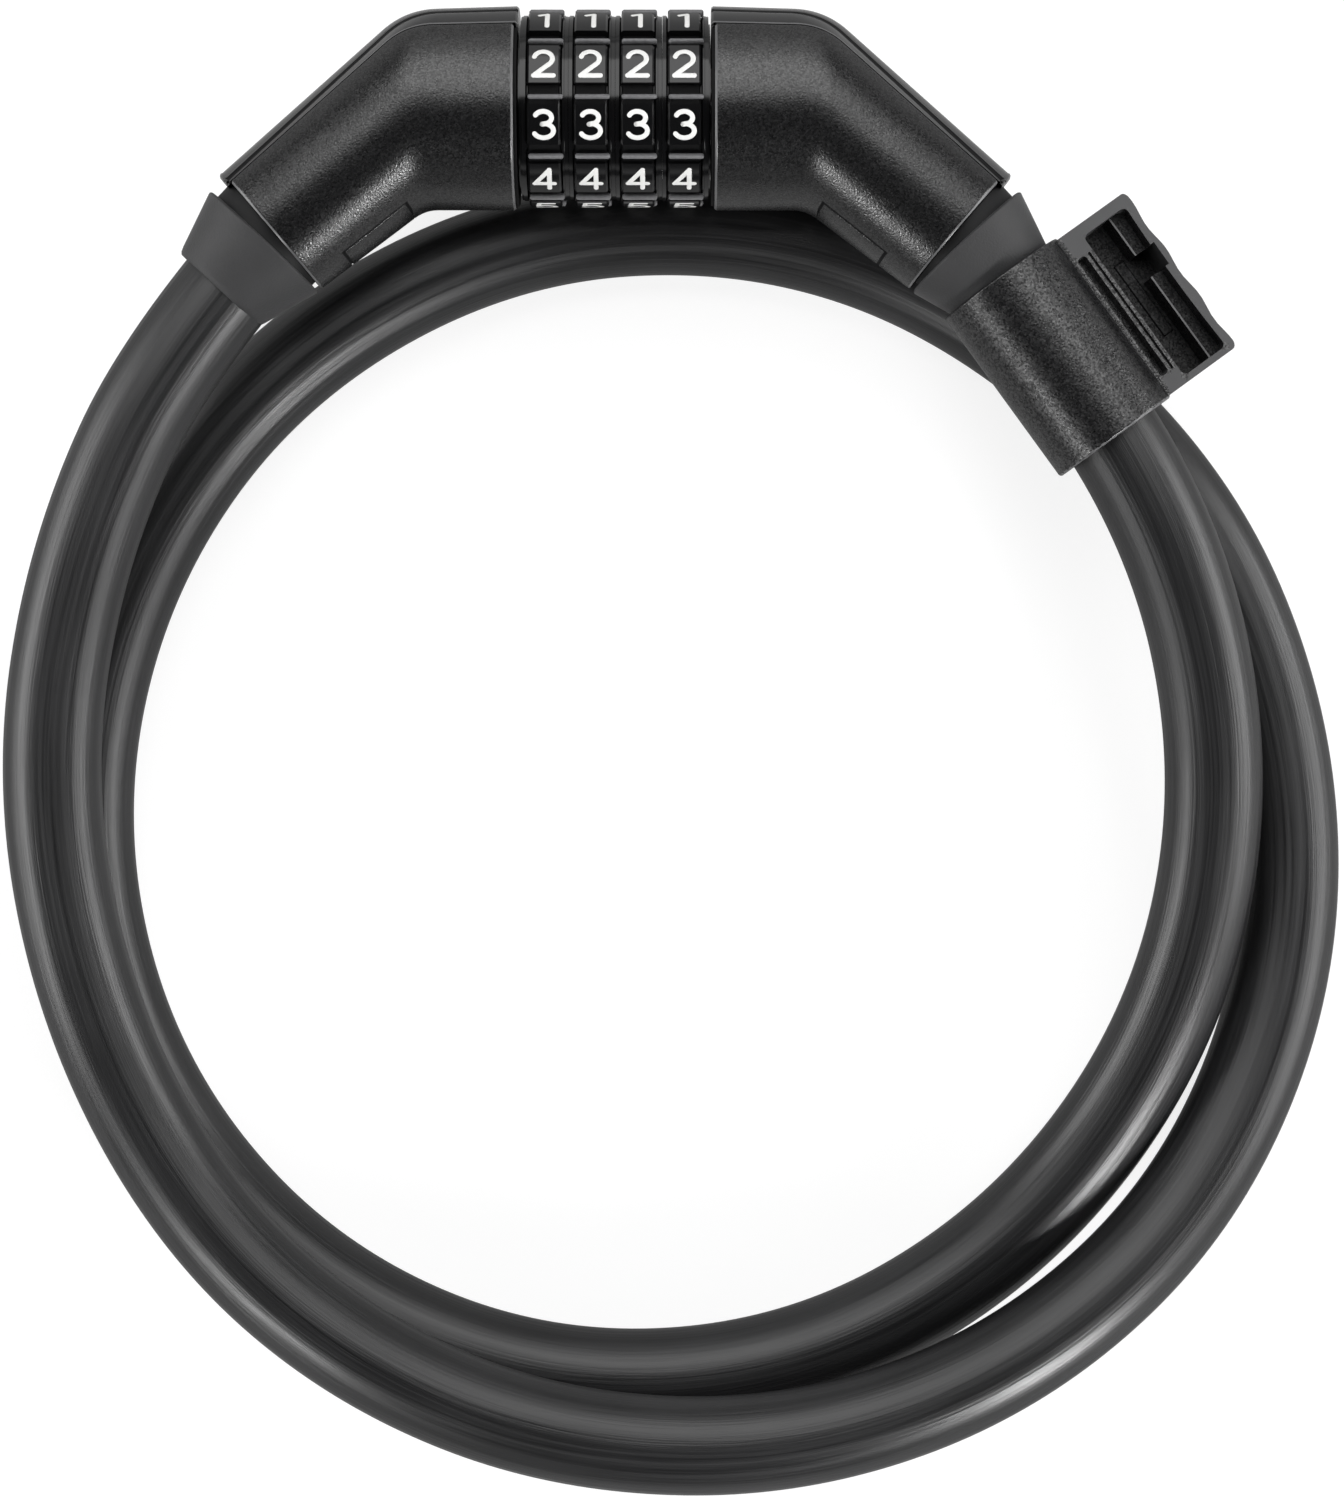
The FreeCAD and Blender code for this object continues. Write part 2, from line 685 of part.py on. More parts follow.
# Holder: a collar on the cable with a head that slides onto a clip on the bicycle


def place_holder(shape):
    """Move a piece made along +X from the origin to the holder's place on the cable."""
    moved = shape.copy()
    moved.rotate(V(0, 0, 0), V(1, 0, 0), HOLDER_ROLL)
    moved.rotate(V(0, 0, 0), V(0, 0, 1), -HOLDER_ANGLE)
    moved.translate(LOCK_CENTRE + MOUTH + heading(EXIT_ANGLE) * HOLDER_FROM_MOUTH)
    return moved


def pocket():
    """Pocket of the head, its outer wall bowed inwards, with a gap for the clip's latch."""
    floor = HEAD_TOP - POCKET_DEPTH
    start = V(POCKET_START, POCKET_INNER, floor)
    end = V(POCKET_END, POCKET_INNER, floor)
    far_start = V(POCKET_START, POCKET_OUTER, floor)
    far_end = V(POCKET_END, POCKET_OUTER, floor)
    waist = V((POCKET_START + POCKET_END) / 2, POCKET_WAIST, floor)
    edges = [
        Part.LineSegment(start, end).toShape(),
        Part.LineSegment(end, far_end).toShape(),
        Part.Arc(far_end, waist, far_start).toShape(),
        Part.LineSegment(far_start, start).toShape(),
    ]
    return Part.Face(Part.Wire(edges)).extrude(V(0, 0, 2 * POCKET_DEPTH))


def holder_collar():
    collar = turned([
        (0, HOLDER_MOUTH_BORE),
        (0, HOLDER_RADIUS - HOLDER_BEVEL),
        (HOLDER_BEVEL, HOLDER_RADIUS),
        (HOLDER_LENGTH - HOLDER_BEVEL, HOLDER_RADIUS),
        (HOLDER_LENGTH, HOLDER_RADIUS - HOLDER_BEVEL),
        (HOLDER_LENGTH, HOLDER_BORE),
        (HOLDER_MOUTH_DEPTH, HOLDER_BORE),
        (HOLDER_MOUTH_DEPTH, HOLDER_MOUTH_BORE),
    ])
    head = box((HOLDER_BEVEL, 0, HEAD_BOTTOM), (HOLDER_LENGTH - HOLDER_BEVEL, HEAD_REACH, HEAD_TOP))
    edges = [edge for edge in head.Edges if edge.BoundBox.YMin > HEAD_REACH - RUN]
    head = head.makeFillet(HEAD_ROUND, edges)
    head = head.cut(rod((HOLDER_RADIUS + HOLDER_MOUTH_BORE) / 2, V(-1, 0, 0), V(HOLDER_LENGTH + 1, 0, 0)))
    slot_end = SLOT_WIDTH / 2
    slot_y = SLOT_INNER + slot_end
    slot_floor = HEAD_TOP - SLOT_DEPTH
    slot = box((SLOT_START + slot_end, SLOT_INNER, slot_floor),
               (SLOT_END - slot_end, SLOT_INNER + SLOT_WIDTH, HEAD_TOP + 1))
    for x in (SLOT_START + slot_end, SLOT_END - slot_end):
        slot = slot.fuse(rod(slot_end, V(x, slot_y, slot_floor), V(x, slot_y, HEAD_TOP + 1)))
    latch = box((LATCH_START, POCKET_WAIST - 1, HEAD_TOP - POCKET_DEPTH / 2),
                (LATCH_START + LATCH_LENGTH, HEAD_REACH - HEAD_ROUND, HEAD_TOP + 1))
    head = head.cut(pocket()).cut(slot).cut(latch)
    return place_holder(collar.fuse(head).removeSplitter())


def holder_liner():
    """Rubber sleeve that grips the cable inside the collar."""
    sleeve = tube(CABLE_RADIUS + RUN, HOLDER_BORE - RUN, LINER_START, LINER_START + LINER_LENGTH)
    return place_holder(sleeve)


def in_place(shape):
    """Move a piece of the lock from its own centre to where the lock lies."""
    moved = shape.copy()
    moved.translate(LOCK_CENTRE)
    return moved


route = route_points()
to_lock = LOCK_CENTRE * -1
right_bore = pipe(route[:3], CABLE_RADIUS + RUN)
left_bore = pipe(route[:-4:-1], CABLE_RADIUS + RUN)
right_bore.translate(to_lock)
left_bore.translate(to_lock)

parts = {
    "plug_shell": in_place(plug_shell()),
    "plug_cover": in_place(cover()),
    "plug_boot": in_place(boot(right_bore)),
    "plug_ferrule": in_place(ferrule()),
    "plug_ferrule_pin": in_place(ferrule_cross_pin()),
    "plug_rope_end": in_place(rope_end()),
    "locking_bolt": in_place(locking_bolt()),
    "bolt_pin": in_place(cross_pin()),
    "cable_sheath": cable_sheath(route),
    "body_shell": in_place(body_shell()),
    "body_cover": in_place(mirrored(cover())),
    "body_boot": in_place(mirrored(boot(mirrored(left_bore)))),
    "body_ferrule": in_place(mirrored(ferrule())),
    "body_ferrule_pin": in_place(mirrored(ferrule_cross_pin())),
    "body_rope_end": in_place(mirrored(rope_end())),
    "code_barrel": in_place(code_barrel()),
    "barrel_pin": in_place(mirrored(cross_pin())),
    "click_spring": in_place(click_spring()),
    "end_washers": in_place(end_washers()),
    "holder_collar": holder_collar(),
    "holder_liner": holder_liner(),
}
for number, x in enumerate(WHEELS, start=1):
    parts["dial_%d" % number] = in_place(dial(x))
    parts["code_ring_%d" % number] = in_place(code_ring(x))

os.makedirs("parts", exist_ok=True)
for name, shape in parts.items():
    shape.exportStep("parts/%s.step" % name)
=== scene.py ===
import json
import math

import bmesh
import bpy
from mathutils import Matrix, Vector


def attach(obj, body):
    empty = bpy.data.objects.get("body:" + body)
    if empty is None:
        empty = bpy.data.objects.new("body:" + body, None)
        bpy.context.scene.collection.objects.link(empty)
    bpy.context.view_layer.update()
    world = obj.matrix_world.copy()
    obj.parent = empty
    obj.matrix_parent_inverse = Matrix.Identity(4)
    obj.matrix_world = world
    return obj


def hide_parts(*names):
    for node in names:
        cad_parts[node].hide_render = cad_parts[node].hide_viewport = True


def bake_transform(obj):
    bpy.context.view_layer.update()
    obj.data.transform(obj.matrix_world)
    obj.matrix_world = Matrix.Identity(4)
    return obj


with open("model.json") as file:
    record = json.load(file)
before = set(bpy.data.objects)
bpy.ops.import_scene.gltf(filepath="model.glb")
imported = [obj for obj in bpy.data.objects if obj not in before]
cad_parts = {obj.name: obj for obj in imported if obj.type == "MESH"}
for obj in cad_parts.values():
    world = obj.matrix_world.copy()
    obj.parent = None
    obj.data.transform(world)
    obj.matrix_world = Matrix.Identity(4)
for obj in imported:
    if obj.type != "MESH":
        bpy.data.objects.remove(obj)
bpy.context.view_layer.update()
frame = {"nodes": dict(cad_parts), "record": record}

# Camera. The lock lies flat and is seen from straight above, over the middle of its turns,
# with the wheels' axis level in the picture.
CAMERA_PLACE = (-0.001, 0.0003, 0.650)
VIEW_HEIGHT = 0.23684

camera_data = bpy.data.cameras.new("camera")
camera_data.sensor_width = 36
camera_data.lens = camera_data.sensor_width * CAMERA_PLACE[2] / VIEW_HEIGHT
camera_data.clip_start = 0.01
camera = bpy.data.objects.new("camera", camera_data)
camera.location = CAMERA_PLACE
bpy.context.scene.collection.objects.link(camera)
bpy.context.scene.camera = camera
bpy.context.scene.view_settings.view_transform = "Standard"


# Table and light. A pale table with soft lamps standing low round it and a dim ceiling, so
# that black pieces show light bands on both flanks and stay dark on top.
TABLE_SIZE = 8.0
TABLE_COLOUR = "#8c8c8c"
TABLE_GLOW = 0.80
MIRRORED_GLOW = 0.2
TABLE_DROP = 0.0001
# height as a share of straight up, and colour: the backdrop's foot, the walls and the ceiling
ROOM = [(0.04, "#c8c8c8"), (0.16, "#383838"), (0.60, "#161616")]


def linear(code):
    """An sRGB hex colour as linear red, green, blue and alpha."""
    channels = [int(code[i:i + 2], 16) / 255 for i in (1, 3, 5)]
    return [c / 12.92 if c <= 0.04045 else ((c + 0.055) / 1.055) ** 2.4 for c in channels] + [1.0]


def add(tree, kind, settings=None, links=None):
    """Add a node with its settings and its linked inputs."""
    node = tree.nodes.new(kind)
    for name, value in (settings or {}).items():
        if isinstance(name, str) and hasattr(node, name):
            setattr(node, name, value)
        else:
            node.inputs[name].default_value = value
    for name, socket in (links or {}).items():
        tree.links.new(socket, node.inputs[name])
    return node


def stops(ramp, places):
    """Set a ramp's colours from (place, grey) pairs."""
    elements = ramp.color_ramp.elements
    while len(elements) < len(places):
        elements.new(1.0)
    for element, (place, grey) in zip(elements, places):
        element.position = place
        element.color = (grey, grey, grey, 1.0)


world = bpy.data.worlds.new("room")
bpy.context.scene.world = world
world.use_nodes = True
tree = world.node_tree
tree.nodes.clear()
direction = add(tree, "ShaderNodeTexCoord")
height = add(tree, "ShaderNodeSeparateXYZ", None, {0: direction.outputs["Generated"]})
ramp = add(tree, "ShaderNodeValToRGB", None, {0: height.outputs["Z"]})
stops(ramp, [(place, linear(colour)[0]) for place, colour in ROOM])
sky = add(tree, "ShaderNodeBackground", {"Strength": 1.0}, {"Color": ramp.outputs["Color"]})
add(tree, "ShaderNodeOutputWorld", None, {"Surface": sky.outputs[0]})

table_cloth = bpy.data.materials.new("matt_white_paper")
table_cloth.use_nodes = True
tree = table_cloth.node_tree
tree.nodes.clear()
matt = add(tree, "ShaderNodeBsdfDiffuse", {"Color": linear(TABLE_COLOUR)})
rays = add(tree, "ShaderNodeLightPath")
mirrored = add(tree, "ShaderNodeMath", {"operation": "MAXIMUM"},
               {0: rays.outputs["Is Glossy Ray"], 1: rays.outputs["Is Transmission Ray"]})
dimmed = add(tree, "ShaderNodeMath", {"operation": "MULTIPLY", 1: MIRRORED_GLOW},
             {0: mirrored.outputs[0]})
seen = add(tree, "ShaderNodeMath", {"operation": "MAXIMUM"},
           {0: rays.outputs["Is Camera Ray"], 1: dimmed.outputs[0]})
glow = add(tree, "ShaderNodeMath", {"operation": "MULTIPLY", 1: TABLE_GLOW}, {0: seen.outputs[0]})
white = add(tree, "ShaderNodeEmission", {"Color": (1, 1, 1, 1)}, {"Strength": glow.outputs[0]})
both = add(tree, "ShaderNodeAddShader", None, {0: matt.outputs[0], 1: white.outputs[0]})
add(tree, "ShaderNodeOutputMaterial", None, {"Surface": both.outputs[0]})

bm = bmesh.new()
bmesh.ops.create_grid(bm, x_segments=1, y_segments=1, size=TABLE_SIZE / 2,
                      matrix=Matrix.Translation((0, 0, -TABLE_DROP)))
table_mesh = bpy.data.meshes.new("table_top")
bm.to_mesh(table_mesh)
bm.free()
table_mesh.materials.append(table_cloth)
table_top = bpy.data.objects.new("table_top", table_mesh)
bpy.context.scene.collection.objects.link(table_top)

# name, bearing round the table and height above it in degrees, width and height in metres, watts
LAMPS = [
    ("lamp_behind_high", 90, 56, 1.30, 0.74, 7.3),
    ("lamp_behind_low", 90, 22, 0.90, 0.40, 1.0),
    ("lamp_front_left", 229, 26, 0.20, 0.20, 2.7),
    ("lamp_front_right", 311, 26, 0.20, 0.20, 5.0),
    ("lamp_left", 176, 18, 0.90, 0.40, 5.8),
    ("lamp_right", 4, 18, 0.90, 0.40, 6.2),
]
LAMP_DISTANCE = 0.9
for name, bearing, lift, wide, tall, watts in LAMPS:
    lamp = bpy.data.lights.new(name, "AREA")
    lamp.shape = "RECTANGLE"
    lamp.size = wide
    lamp.size_y = tall
    lamp.energy = watts
    stand = bpy.data.objects.new(name, lamp)
    turn, tilt = math.radians(bearing), math.radians(lift)
    away = Vector((math.cos(turn) * math.cos(tilt), math.sin(turn) * math.cos(tilt), math.sin(tilt)))
    stand.location = away * LAMP_DISTANCE
    stand.rotation_mode = "QUATERNION"
    stand.rotation_quaternion = away.to_track_quat("Z", "Y")
    bpy.context.scene.collection.objects.link(stand)


# Cable. A steel rope in one unbroken sheath of soft extruded vinyl, 15 mm across. It leaves the
# right housing, goes once round on the inside and once on the outside and ends in the left one.
CABLE_DIAMETER = 0.015
CABLE_ROUTE = [
    (0.0361, 0.0853, 0.0260),
    (0.0489, 0.0716, 0.0260),
    (0.0747, 0.0361, 0.0260),
    (0.0840, -0.0040, 0.0200),
    (0.0770, -0.0430, 0.0126),
    (0.0538, -0.0760, 0.0080),
    (0.0190, -0.0964, 0.0070),
    (-0.0220, -0.0988, 0.0070),
    (-0.0590, -0.0826, 0.0070),
    (-0.0850, -0.0516, 0.0070),
    (-0.0948, -0.0122, 0.0070),
    (-0.0871, 0.0273, 0.0070),
    (-0.0640, 0.0601, 0.0070),
    (-0.0278, 0.0805, 0.0070),
    (0.0115, 0.0830, 0.0070),
    (0.0465, 0.0705, 0.0070),
    (0.0792, 0.0415, 0.0070),
    (0.0950, 0.0048, 0.0070),
    (0.0960, -0.0340, 0.0080),
    (0.0808, -0.0698, 0.0120),
    (0.0529, -0.0945, 0.0175),
    (0.0186, -0.1066, 0.0205),
    (-0.0175, -0.1056, 0.0220),
    (-0.0485, -0.0934, 0.0226),
    (-0.0728, -0.0724, 0.0226),
    (-0.0900, -0.0410, 0.0226),
    (-0.0970, -0.0050, 0.0226),
    (-0.0916, 0.0305, 0.0240),
    (-0.0765, 0.0626, 0.0260),
    (-0.0553, 0.0853, 0.0260),
]
VINYL = "#101011"
VINYL_WORN = "#212122"
STREAK_WIDTH_MM = 1.1
STREAK_LENGTH_MM = 90

line = bpy.data.curves.new("cable_line", "CURVE")
line.dimensions = "3D"
spline = line.splines.new("NURBS")
spline.points.add(len(CABLE_ROUTE) - 1)
for point, place in zip(spline.points, CABLE_ROUTE):
    point.co = (*place, 1.0)
spline.order_u = 3
spline.use_endpoint_u = True
line.resolution_u = 20
line_object = bpy.data.objects.new("cable_line", line)
bpy.context.scene.collection.objects.link(line_object)


def as_mesh(curve):
    """A curve's shape as a new mesh."""
    bpy.context.view_layer.update()
    shown = bpy.context.evaluated_depsgraph_get()
    return bpy.data.meshes.new_from_object(curve.evaluated_get(shown))


centre_line = as_mesh(line_object)
cable_path = [vertex.co.copy() for vertex in centre_line.vertices]
line.bevel_depth = CABLE_DIAMETER / 2
line.bevel_resolution = 9
cable_mesh = as_mesh(line_object)
cable_mesh.name = "cable"
bpy.data.meshes.remove(centre_line)
bpy.data.objects.remove(line_object)
bpy.data.curves.remove(line)
for vertex in cable_mesh.vertices:
    vertex.co.z = max(vertex.co.z, 0.0)
cable_length = sum((b - a).length for a, b in zip(cable_path, cable_path[1:]))


def new_material(name):
    """An empty node material, its tree and its object coordinates."""
    material = bpy.data.materials.new(name)
    material.use_nodes = True
    material.node_tree.nodes.clear()
    return material, material.node_tree, add(material.node_tree, "ShaderNodeTexCoord")


def skin(tree, settings, links, height, depth_mm):
    """The surface itself, with a relief of the given depth, and the material's output."""
    relief = add(tree, "ShaderNodeBump", {"Strength": 1.0, "Distance": depth_mm * 0.001},
                 {"Height": height})
    links = {**links, "Normal": relief.outputs["Normal"]}
    surface = add(tree, "ShaderNodeBsdfPrincipled", settings, links)
    add(tree, "ShaderNodeOutputMaterial", None, {"Surface": surface.outputs[0]})


def per_mm(size):
    """Scale of a pattern whose marks are about this many millimetres wide."""
    return 1000 / size


def noise(tree, coords, size_mm, detail, roughness=0.5):
    """A cloudy pattern fixed to the piece, with marks of this size."""
    pattern = add(tree, "ShaderNodeTexNoise",
                  {"Scale": per_mm(size_mm), "Detail": detail, "Roughness": roughness},
                  {"Vector": coords.outputs["Object"]})
    return pattern.outputs[0]


def blended(tree, first, second, share):
    """Two linear colours mixed by a pattern."""
    return add(tree, "ShaderNodeMix", {"data_type": "RGBA", 6: first, 7: second}, {0: share}).outputs[2]


def spread(tree, pattern, low, high):
    """A pattern's values from 0 to 1 laid out between two numbers."""
    return add(tree, "ShaderNodeMapRange", {"To Min": low, "To Max": high}, {"Value": pattern}).outputs[0]


# Extruded soft vinyl: satin, with faint streaks drawn along it by the die
vinyl, tree, coords = new_material("extruded_satin_vinyl")
streaks_along = cable_length * per_mm(STREAK_LENGTH_MM)
streaks_round = math.pi * CABLE_DIAMETER * per_mm(STREAK_WIDTH_MM)
along = add(tree, "ShaderNodeMapping", {"Scale": (streaks_along, streaks_round, 1.0)},
            {"Vector": coords.outputs["UV"]})
streaks = add(tree, "ShaderNodeTexNoise", {"Scale": 1.0, "Detail": 4.0, "Roughness": 0.7},
              {"Vector": along.outputs[0]})
clouds = noise(tree, coords, 30, 2.0)
mixed = add(tree, "ShaderNodeMath", {"operation": "MULTIPLY"}, {0: streaks.outputs[0], 1: clouds})
tone = add(tree, "ShaderNodeMapRange", {"From Min": 0.15, "From Max": 0.40}, {"Value": mixed.outputs[0]})
colour = blended(tree, linear(VINYL), linear(VINYL_WORN), tone.outputs[0])
gloss = add(tree, "ShaderNodeMapRange", {"From Min": 0.35, "From Max": 0.65, "To Min": 0.28,
                                         "To Max": 0.46}, {"Value": streaks.outputs[0]})
skin(tree, {"IOR": 1.56}, {"Base Color": colour, "Roughness": gloss.outputs[0]}, streaks.outputs[0], 0.09)

cable_mesh.materials.clear()
cable_mesh.materials.append(vinyl)
cable_mesh.shade_smooth()
cable = bpy.data.objects.new("cable", cable_mesh)
bpy.context.scene.collection.objects.link(cable)
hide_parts("cable_sheath")
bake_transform(cable)


# Angled housings. Each end of the cable sits in a stout moulded housing, round at the wheels and
# bent towards the cable, matt with a fine grain, with a flat seat for the glossy strip outside.
# From here on sizes are in millimetres and angles in degrees.
LOCK_CENTRE_MM = (-9.6, 97.5, 26.0)
FACE = 14.505
HOUSING_RADIUS = 15.3
RIM_WIDTH = 0.5
RIM_SHARE = 0.975
RIM_CHAMFER = 0.35
RIM_CHAMFER_SHARE = 0.982
MOUTH_CHAMFER = 0.3
MOUTH_SHARE = 0.983
BEND_AT = 15.4
BEND_ANGLE = 40.5
ARM_LENGTH = 28.9
ARM_RADIUS = 12.8
MOUTH_RADIUS = 11.15
OUTER_ROUND = 13.0
INNER_ROUND = 6.0
STRAIGHT_TAPER = 0.03
ARM_STRETCH = 0.96
MOUTH_STRETCH = 1.05
COVER_DEPTHS = (4.2, 3.5, 2.85)
PLATE_FROM_MOUTH = 5.8
PLATE_LENGTH = 12.4
PLATE_HALF_TURN = 33
PLATE_STEPS = 4
PLATE_BORDER = 0.5
PLATE_GROOVE = 0.22
PLATE_GROOVE_DEPTH = 0.24
HOUSING_EDGE = 0.16
BEND_STEPS = 12
RING_GAP = 4.0
CHAMFER_RING_GAP = 0.1
RING_POINTS = 64
FLAT_POINTS = 8
SEAT_EDGE = 0.3
PLUG_BORE = 6.5
BARREL_BORE = 6.05
BORE_DEPTH = 4.0
CABLE_BORE = 7.6
GRAIN_MM = 0.22
HOUSING_BLACK = "#0b0b0c"


def heading(angle):
    """Direction in the table's plane, the given number of degrees below +X."""
    turn = math.radians(angle)
    return Vector((math.cos(turn), -math.sin(turn), 0))


def outward(angle):
    """Direction at right angles to heading(angle), on the outer side of the bend."""
    turn = math.radians(angle)
    return Vector((math.sin(turn), math.cos(turn), 0))


# depth of the strip's seat and radius, at the dial end, the bend and the mouth
SECTIONS = list(zip(COVER_DEPTHS, (HOUSING_RADIUS, ARM_RADIUS, MOUTH_RADIUS)))
BEND = Vector((FACE + BEND_AT, 0, 0))
MOUTH = BEND + heading(BEND_ANGLE) * ARM_LENGTH


def skin_line(start, base, mouth, straight_places, arm_places):
    """One line along a housing: straight, round the bend, then along the arm.

    start, base and mouth are its places in the sections at the dial end, the bend and the mouth:
    the distance to the side of the middle, and the height. The places along it are given as X on
    the straight part and as distances back from the mouth on the arm.
    """
    base, mouth = stretched(base, ARM_STRETCH), stretched(mouth, MOUTH_STRETCH)
    rounding = line_rounding(start[0] / HOUSING_RADIUS)
    first = BEND + outward(BEND_ANGLE) * base[0]
    last = MOUTH + outward(BEND_ANGLE) * mouth[0]
    slope = STRAIGHT_TAPER * max(0.0, start[0]) / HOUSING_RADIUS
    side = start[0] - slope * (first.x - FACE)
    share = (side - first.y) / (last.y - first.y + slope * (last.x - first.x))
    turn = math.atan2(first.y - last.y, last.x - first.x) - math.atan(slope)
    reach = rounding * math.tan(turn / 2)

    def on_straight(x):
        return Vector((x, start[0] - slope * (x - FACE), start[1]))

    def on_arm(place):
        point = first.lerp(last, place)
        point.z = start[1] + (mouth[1] - start[1]) * (place - share) / (1 - share)
        return point

    corner = on_arm(share)
    leave = on_straight(corner.x - reach)
    arrive = on_arm(share + reach / (last - first).length)
    points = [on_straight(x) for x in straight_places]
    for step in range(BEND_STEPS + 1):
        part = step / BEND_STEPS
        points.append(leave.lerp(corner, part).lerp(corner.lerp(arrive, part), part))
    return points + [on_arm(1 - place / ARM_LENGTH) for place in arm_places]


def line_rounding(share):
    """Radius of the bend for a line at a share of the half width, 1 outside and -1 inside."""
    return INNER_ROUND + (OUTER_ROUND - INNER_ROUND) * ((1 + share) / 2)**2


def stretched(point, stretch):
    """A point of a section, drawn out or in a little on the strip's side."""
    side, lift = point
    return (side * stretch if side > 0 else side), lift


def round_point(turn_share, level, radius):
    """A point of a round section cut flat at a level below its outer edge."""
    corner = math.acos((radius - level) / radius)
    turn = corner + (2 * math.pi - 2 * corner) * turn_share
    return radius * math.cos(turn), radius * math.sin(turn)


def flat_point(share, level, radius):
    """A point of that section's flat, share running from one corner to the other."""
    corner = math.acos((radius - level) / radius)
    return radius - level, -radius * math.sin(corner) * (1 - 2 * share)


def ring_of(bm, points):
    """A closed ring of vertices at the given points."""
    ring = bmesh.ops.create_circle(bm, segments=len(points), radius=1.0)["verts"]
    for vertex, point in zip(ring, points):
        vertex.co = point
    return ring


def skin_between(bm, first, second):
    """Faces between two rings with the same number of vertices."""
    faces = []
    for a, b, c, d in zip(first, first[1:] + first[:1], second[1:] + second[:1], second):
        faces.append(bm.faces.new((a, b, c, d)))
    return faces


def paint(faces, materials, material):
    """Give faces one of their piece's materials."""
    for face in faces:
        face.material_index = materials.index(material)


def finish_mesh(bm, name, materials, mirror=False, place=None):
    """Turn a shape made in millimetres about the lock's centre into a placed object in metres."""
    if mirror:
        bmesh.ops.scale(bm, vec=(-1, 1, 1), verts=bm.verts)
    if place is not None:
        bmesh.ops.transform(bm, matrix=place, verts=bm.verts)
    else:
        bmesh.ops.translate(bm, vec=LOCK_CENTRE_MM, verts=bm.verts)
    bmesh.ops.scale(bm, vec=(0.001, 0.001, 0.001), verts=bm.verts)
    bmesh.ops.recalc_face_normals(bm, faces=bm.faces)
    mesh = bpy.data.meshes.new(name)
    bm.to_mesh(mesh)
    bm.free()
    for material in materials:
        mesh.materials.append(material)
    mesh.shade_smooth()
    piece = bpy.data.objects.new(name, mesh)
    bpy.context.scene.collection.objects.link(piece)
    return piece


def soften(piece, width_mm, segments=2, angle=30):
    """Small moulded rounds along a piece's edges."""
    rounds = piece.modifiers.new("rounds", "BEVEL")
    rounds.width = width_mm * 0.001
    rounds.segments = segments
    rounds.limit_method = "ANGLE"
    rounds.angle_limit = math.radians(angle)
    rounds.harden_normals = True
    rounds.use_clamp_overlap = True


# Moulded nylon with a fine spark-eroded grain: matt, with a speckle where light grazes it
def grained_plastic(name, black, grain_mm, depth_mm, rough, speckle, ior=1.65):
    """A grained plastic; speckle is how far its grains differ in how strongly they mirror."""
    plastic, tree, coords = new_material(name)
    grain = noise(tree, coords, grain_mm * 1.3, 1.0)
    specks = add(tree, "ShaderNodeTexVoronoi", {"Scale": per_mm(grain_mm)},
                 {"Vector": coords.outputs["Object"]})
    chance = add(tree, "ShaderNodeSeparateColor", None, {0: specks.outputs["Color"]})
    shine = spread(tree, chance.outputs[0], rough - 0.05, rough + 0.09)
    dark, light = [[channel * share for channel in linear(black)[:3]] + [1.0] for share in (0.5, 1.6)]
    colour = blended(tree, dark, light, chance.outputs[1])
    glint = spread(tree, chance.outputs[2], 0.5 - speckle, 0.5 + speckle)
    skin(tree, {"IOR": ior}, {"Base Color": colour, "Roughness": shine, "Specular IOR Level": glint},
         grain, depth_mm)
    return plastic


# Polished hard plastic: near black, with clear soft reflections and a trace of handling marks
def polished_plastic(name, black, rough):
    """A smooth plastic of a colour and a roughness."""
    plastic, tree, coords = new_material(name)
    smears = noise(tree, coords, 6, 4.0, 0.6)
    gloss = spread(tree, smears, rough * 0.7, rough * 1.4)
    skin(tree, {"Base Color": linear(black), "IOR": 1.52}, {"Roughness": gloss}, smears, 0.01)
    return plastic


housing_plastic = grained_plastic("grained_moulded_nylon", HOUSING_BLACK, GRAIN_MM, depth_mm=0.04,
                                  rough=0.28, speckle=0.18)
gloss_plastic = polished_plastic("polished_black_abs", "#101011", rough=0.16)
# Rims and thin edges: smooth, and painted a lighter grey as a highlight, so that they show as fine light
# lines
edge_highlight_plastic = polished_plastic("edge_painted_highlight_grey", "#5a5a5b", rough=0.30)

# The same plastic, dead matt and black with hardly any reflection: painted shade, put in grooves, gaps and
# recesses
recess_shade_plastic, tree, coords = new_material("matt_abs_painted_recess_shade")
pits = noise(tree, coords, 0.3, 2.0)
skin(tree, {"Base Color": linear("#0b0b0c"), "Roughness": 0.6, "Specular IOR Level": 0.12}, {}, pits, 0.05)


def housing_rings(straight_places, arm_places):
    """Rings of points along the whole housing, cut flat on the outer side for the strip."""
    edge = SEAT_EDGE / (2 * math.pi * HOUSING_RADIUS)
    shares = [0.0] + [edge + (1 - 2 * edge) * n / RING_POINTS for n in range(RING_POINTS + 1)] + [1.0]
    places = [(round_point, share) for share in shares]
    places += [(flat_point, n / FLAT_POINTS) for n in range(1, FLAT_POINTS)]
    lines = []
    for point_at, share in places:
        start, base, mouth = [point_at(share, level, radius) for level, radius in SECTIONS]
        lines.append(skin_line(start, base, mouth, straight_places, arm_places))
    return [list(ring) for ring in zip(*lines)]


def shrunk(points, middle, across, radius):
    """Each point of a ring moved onto a circle about a middle, in its own direction."""
    found = []
    for point in points:
        side = (point - middle).dot(across)
        length = math.hypot(side, point.z)
        found.append(middle + (across * side + Vector((0, 0, point.z))) * radius / length)
    return found


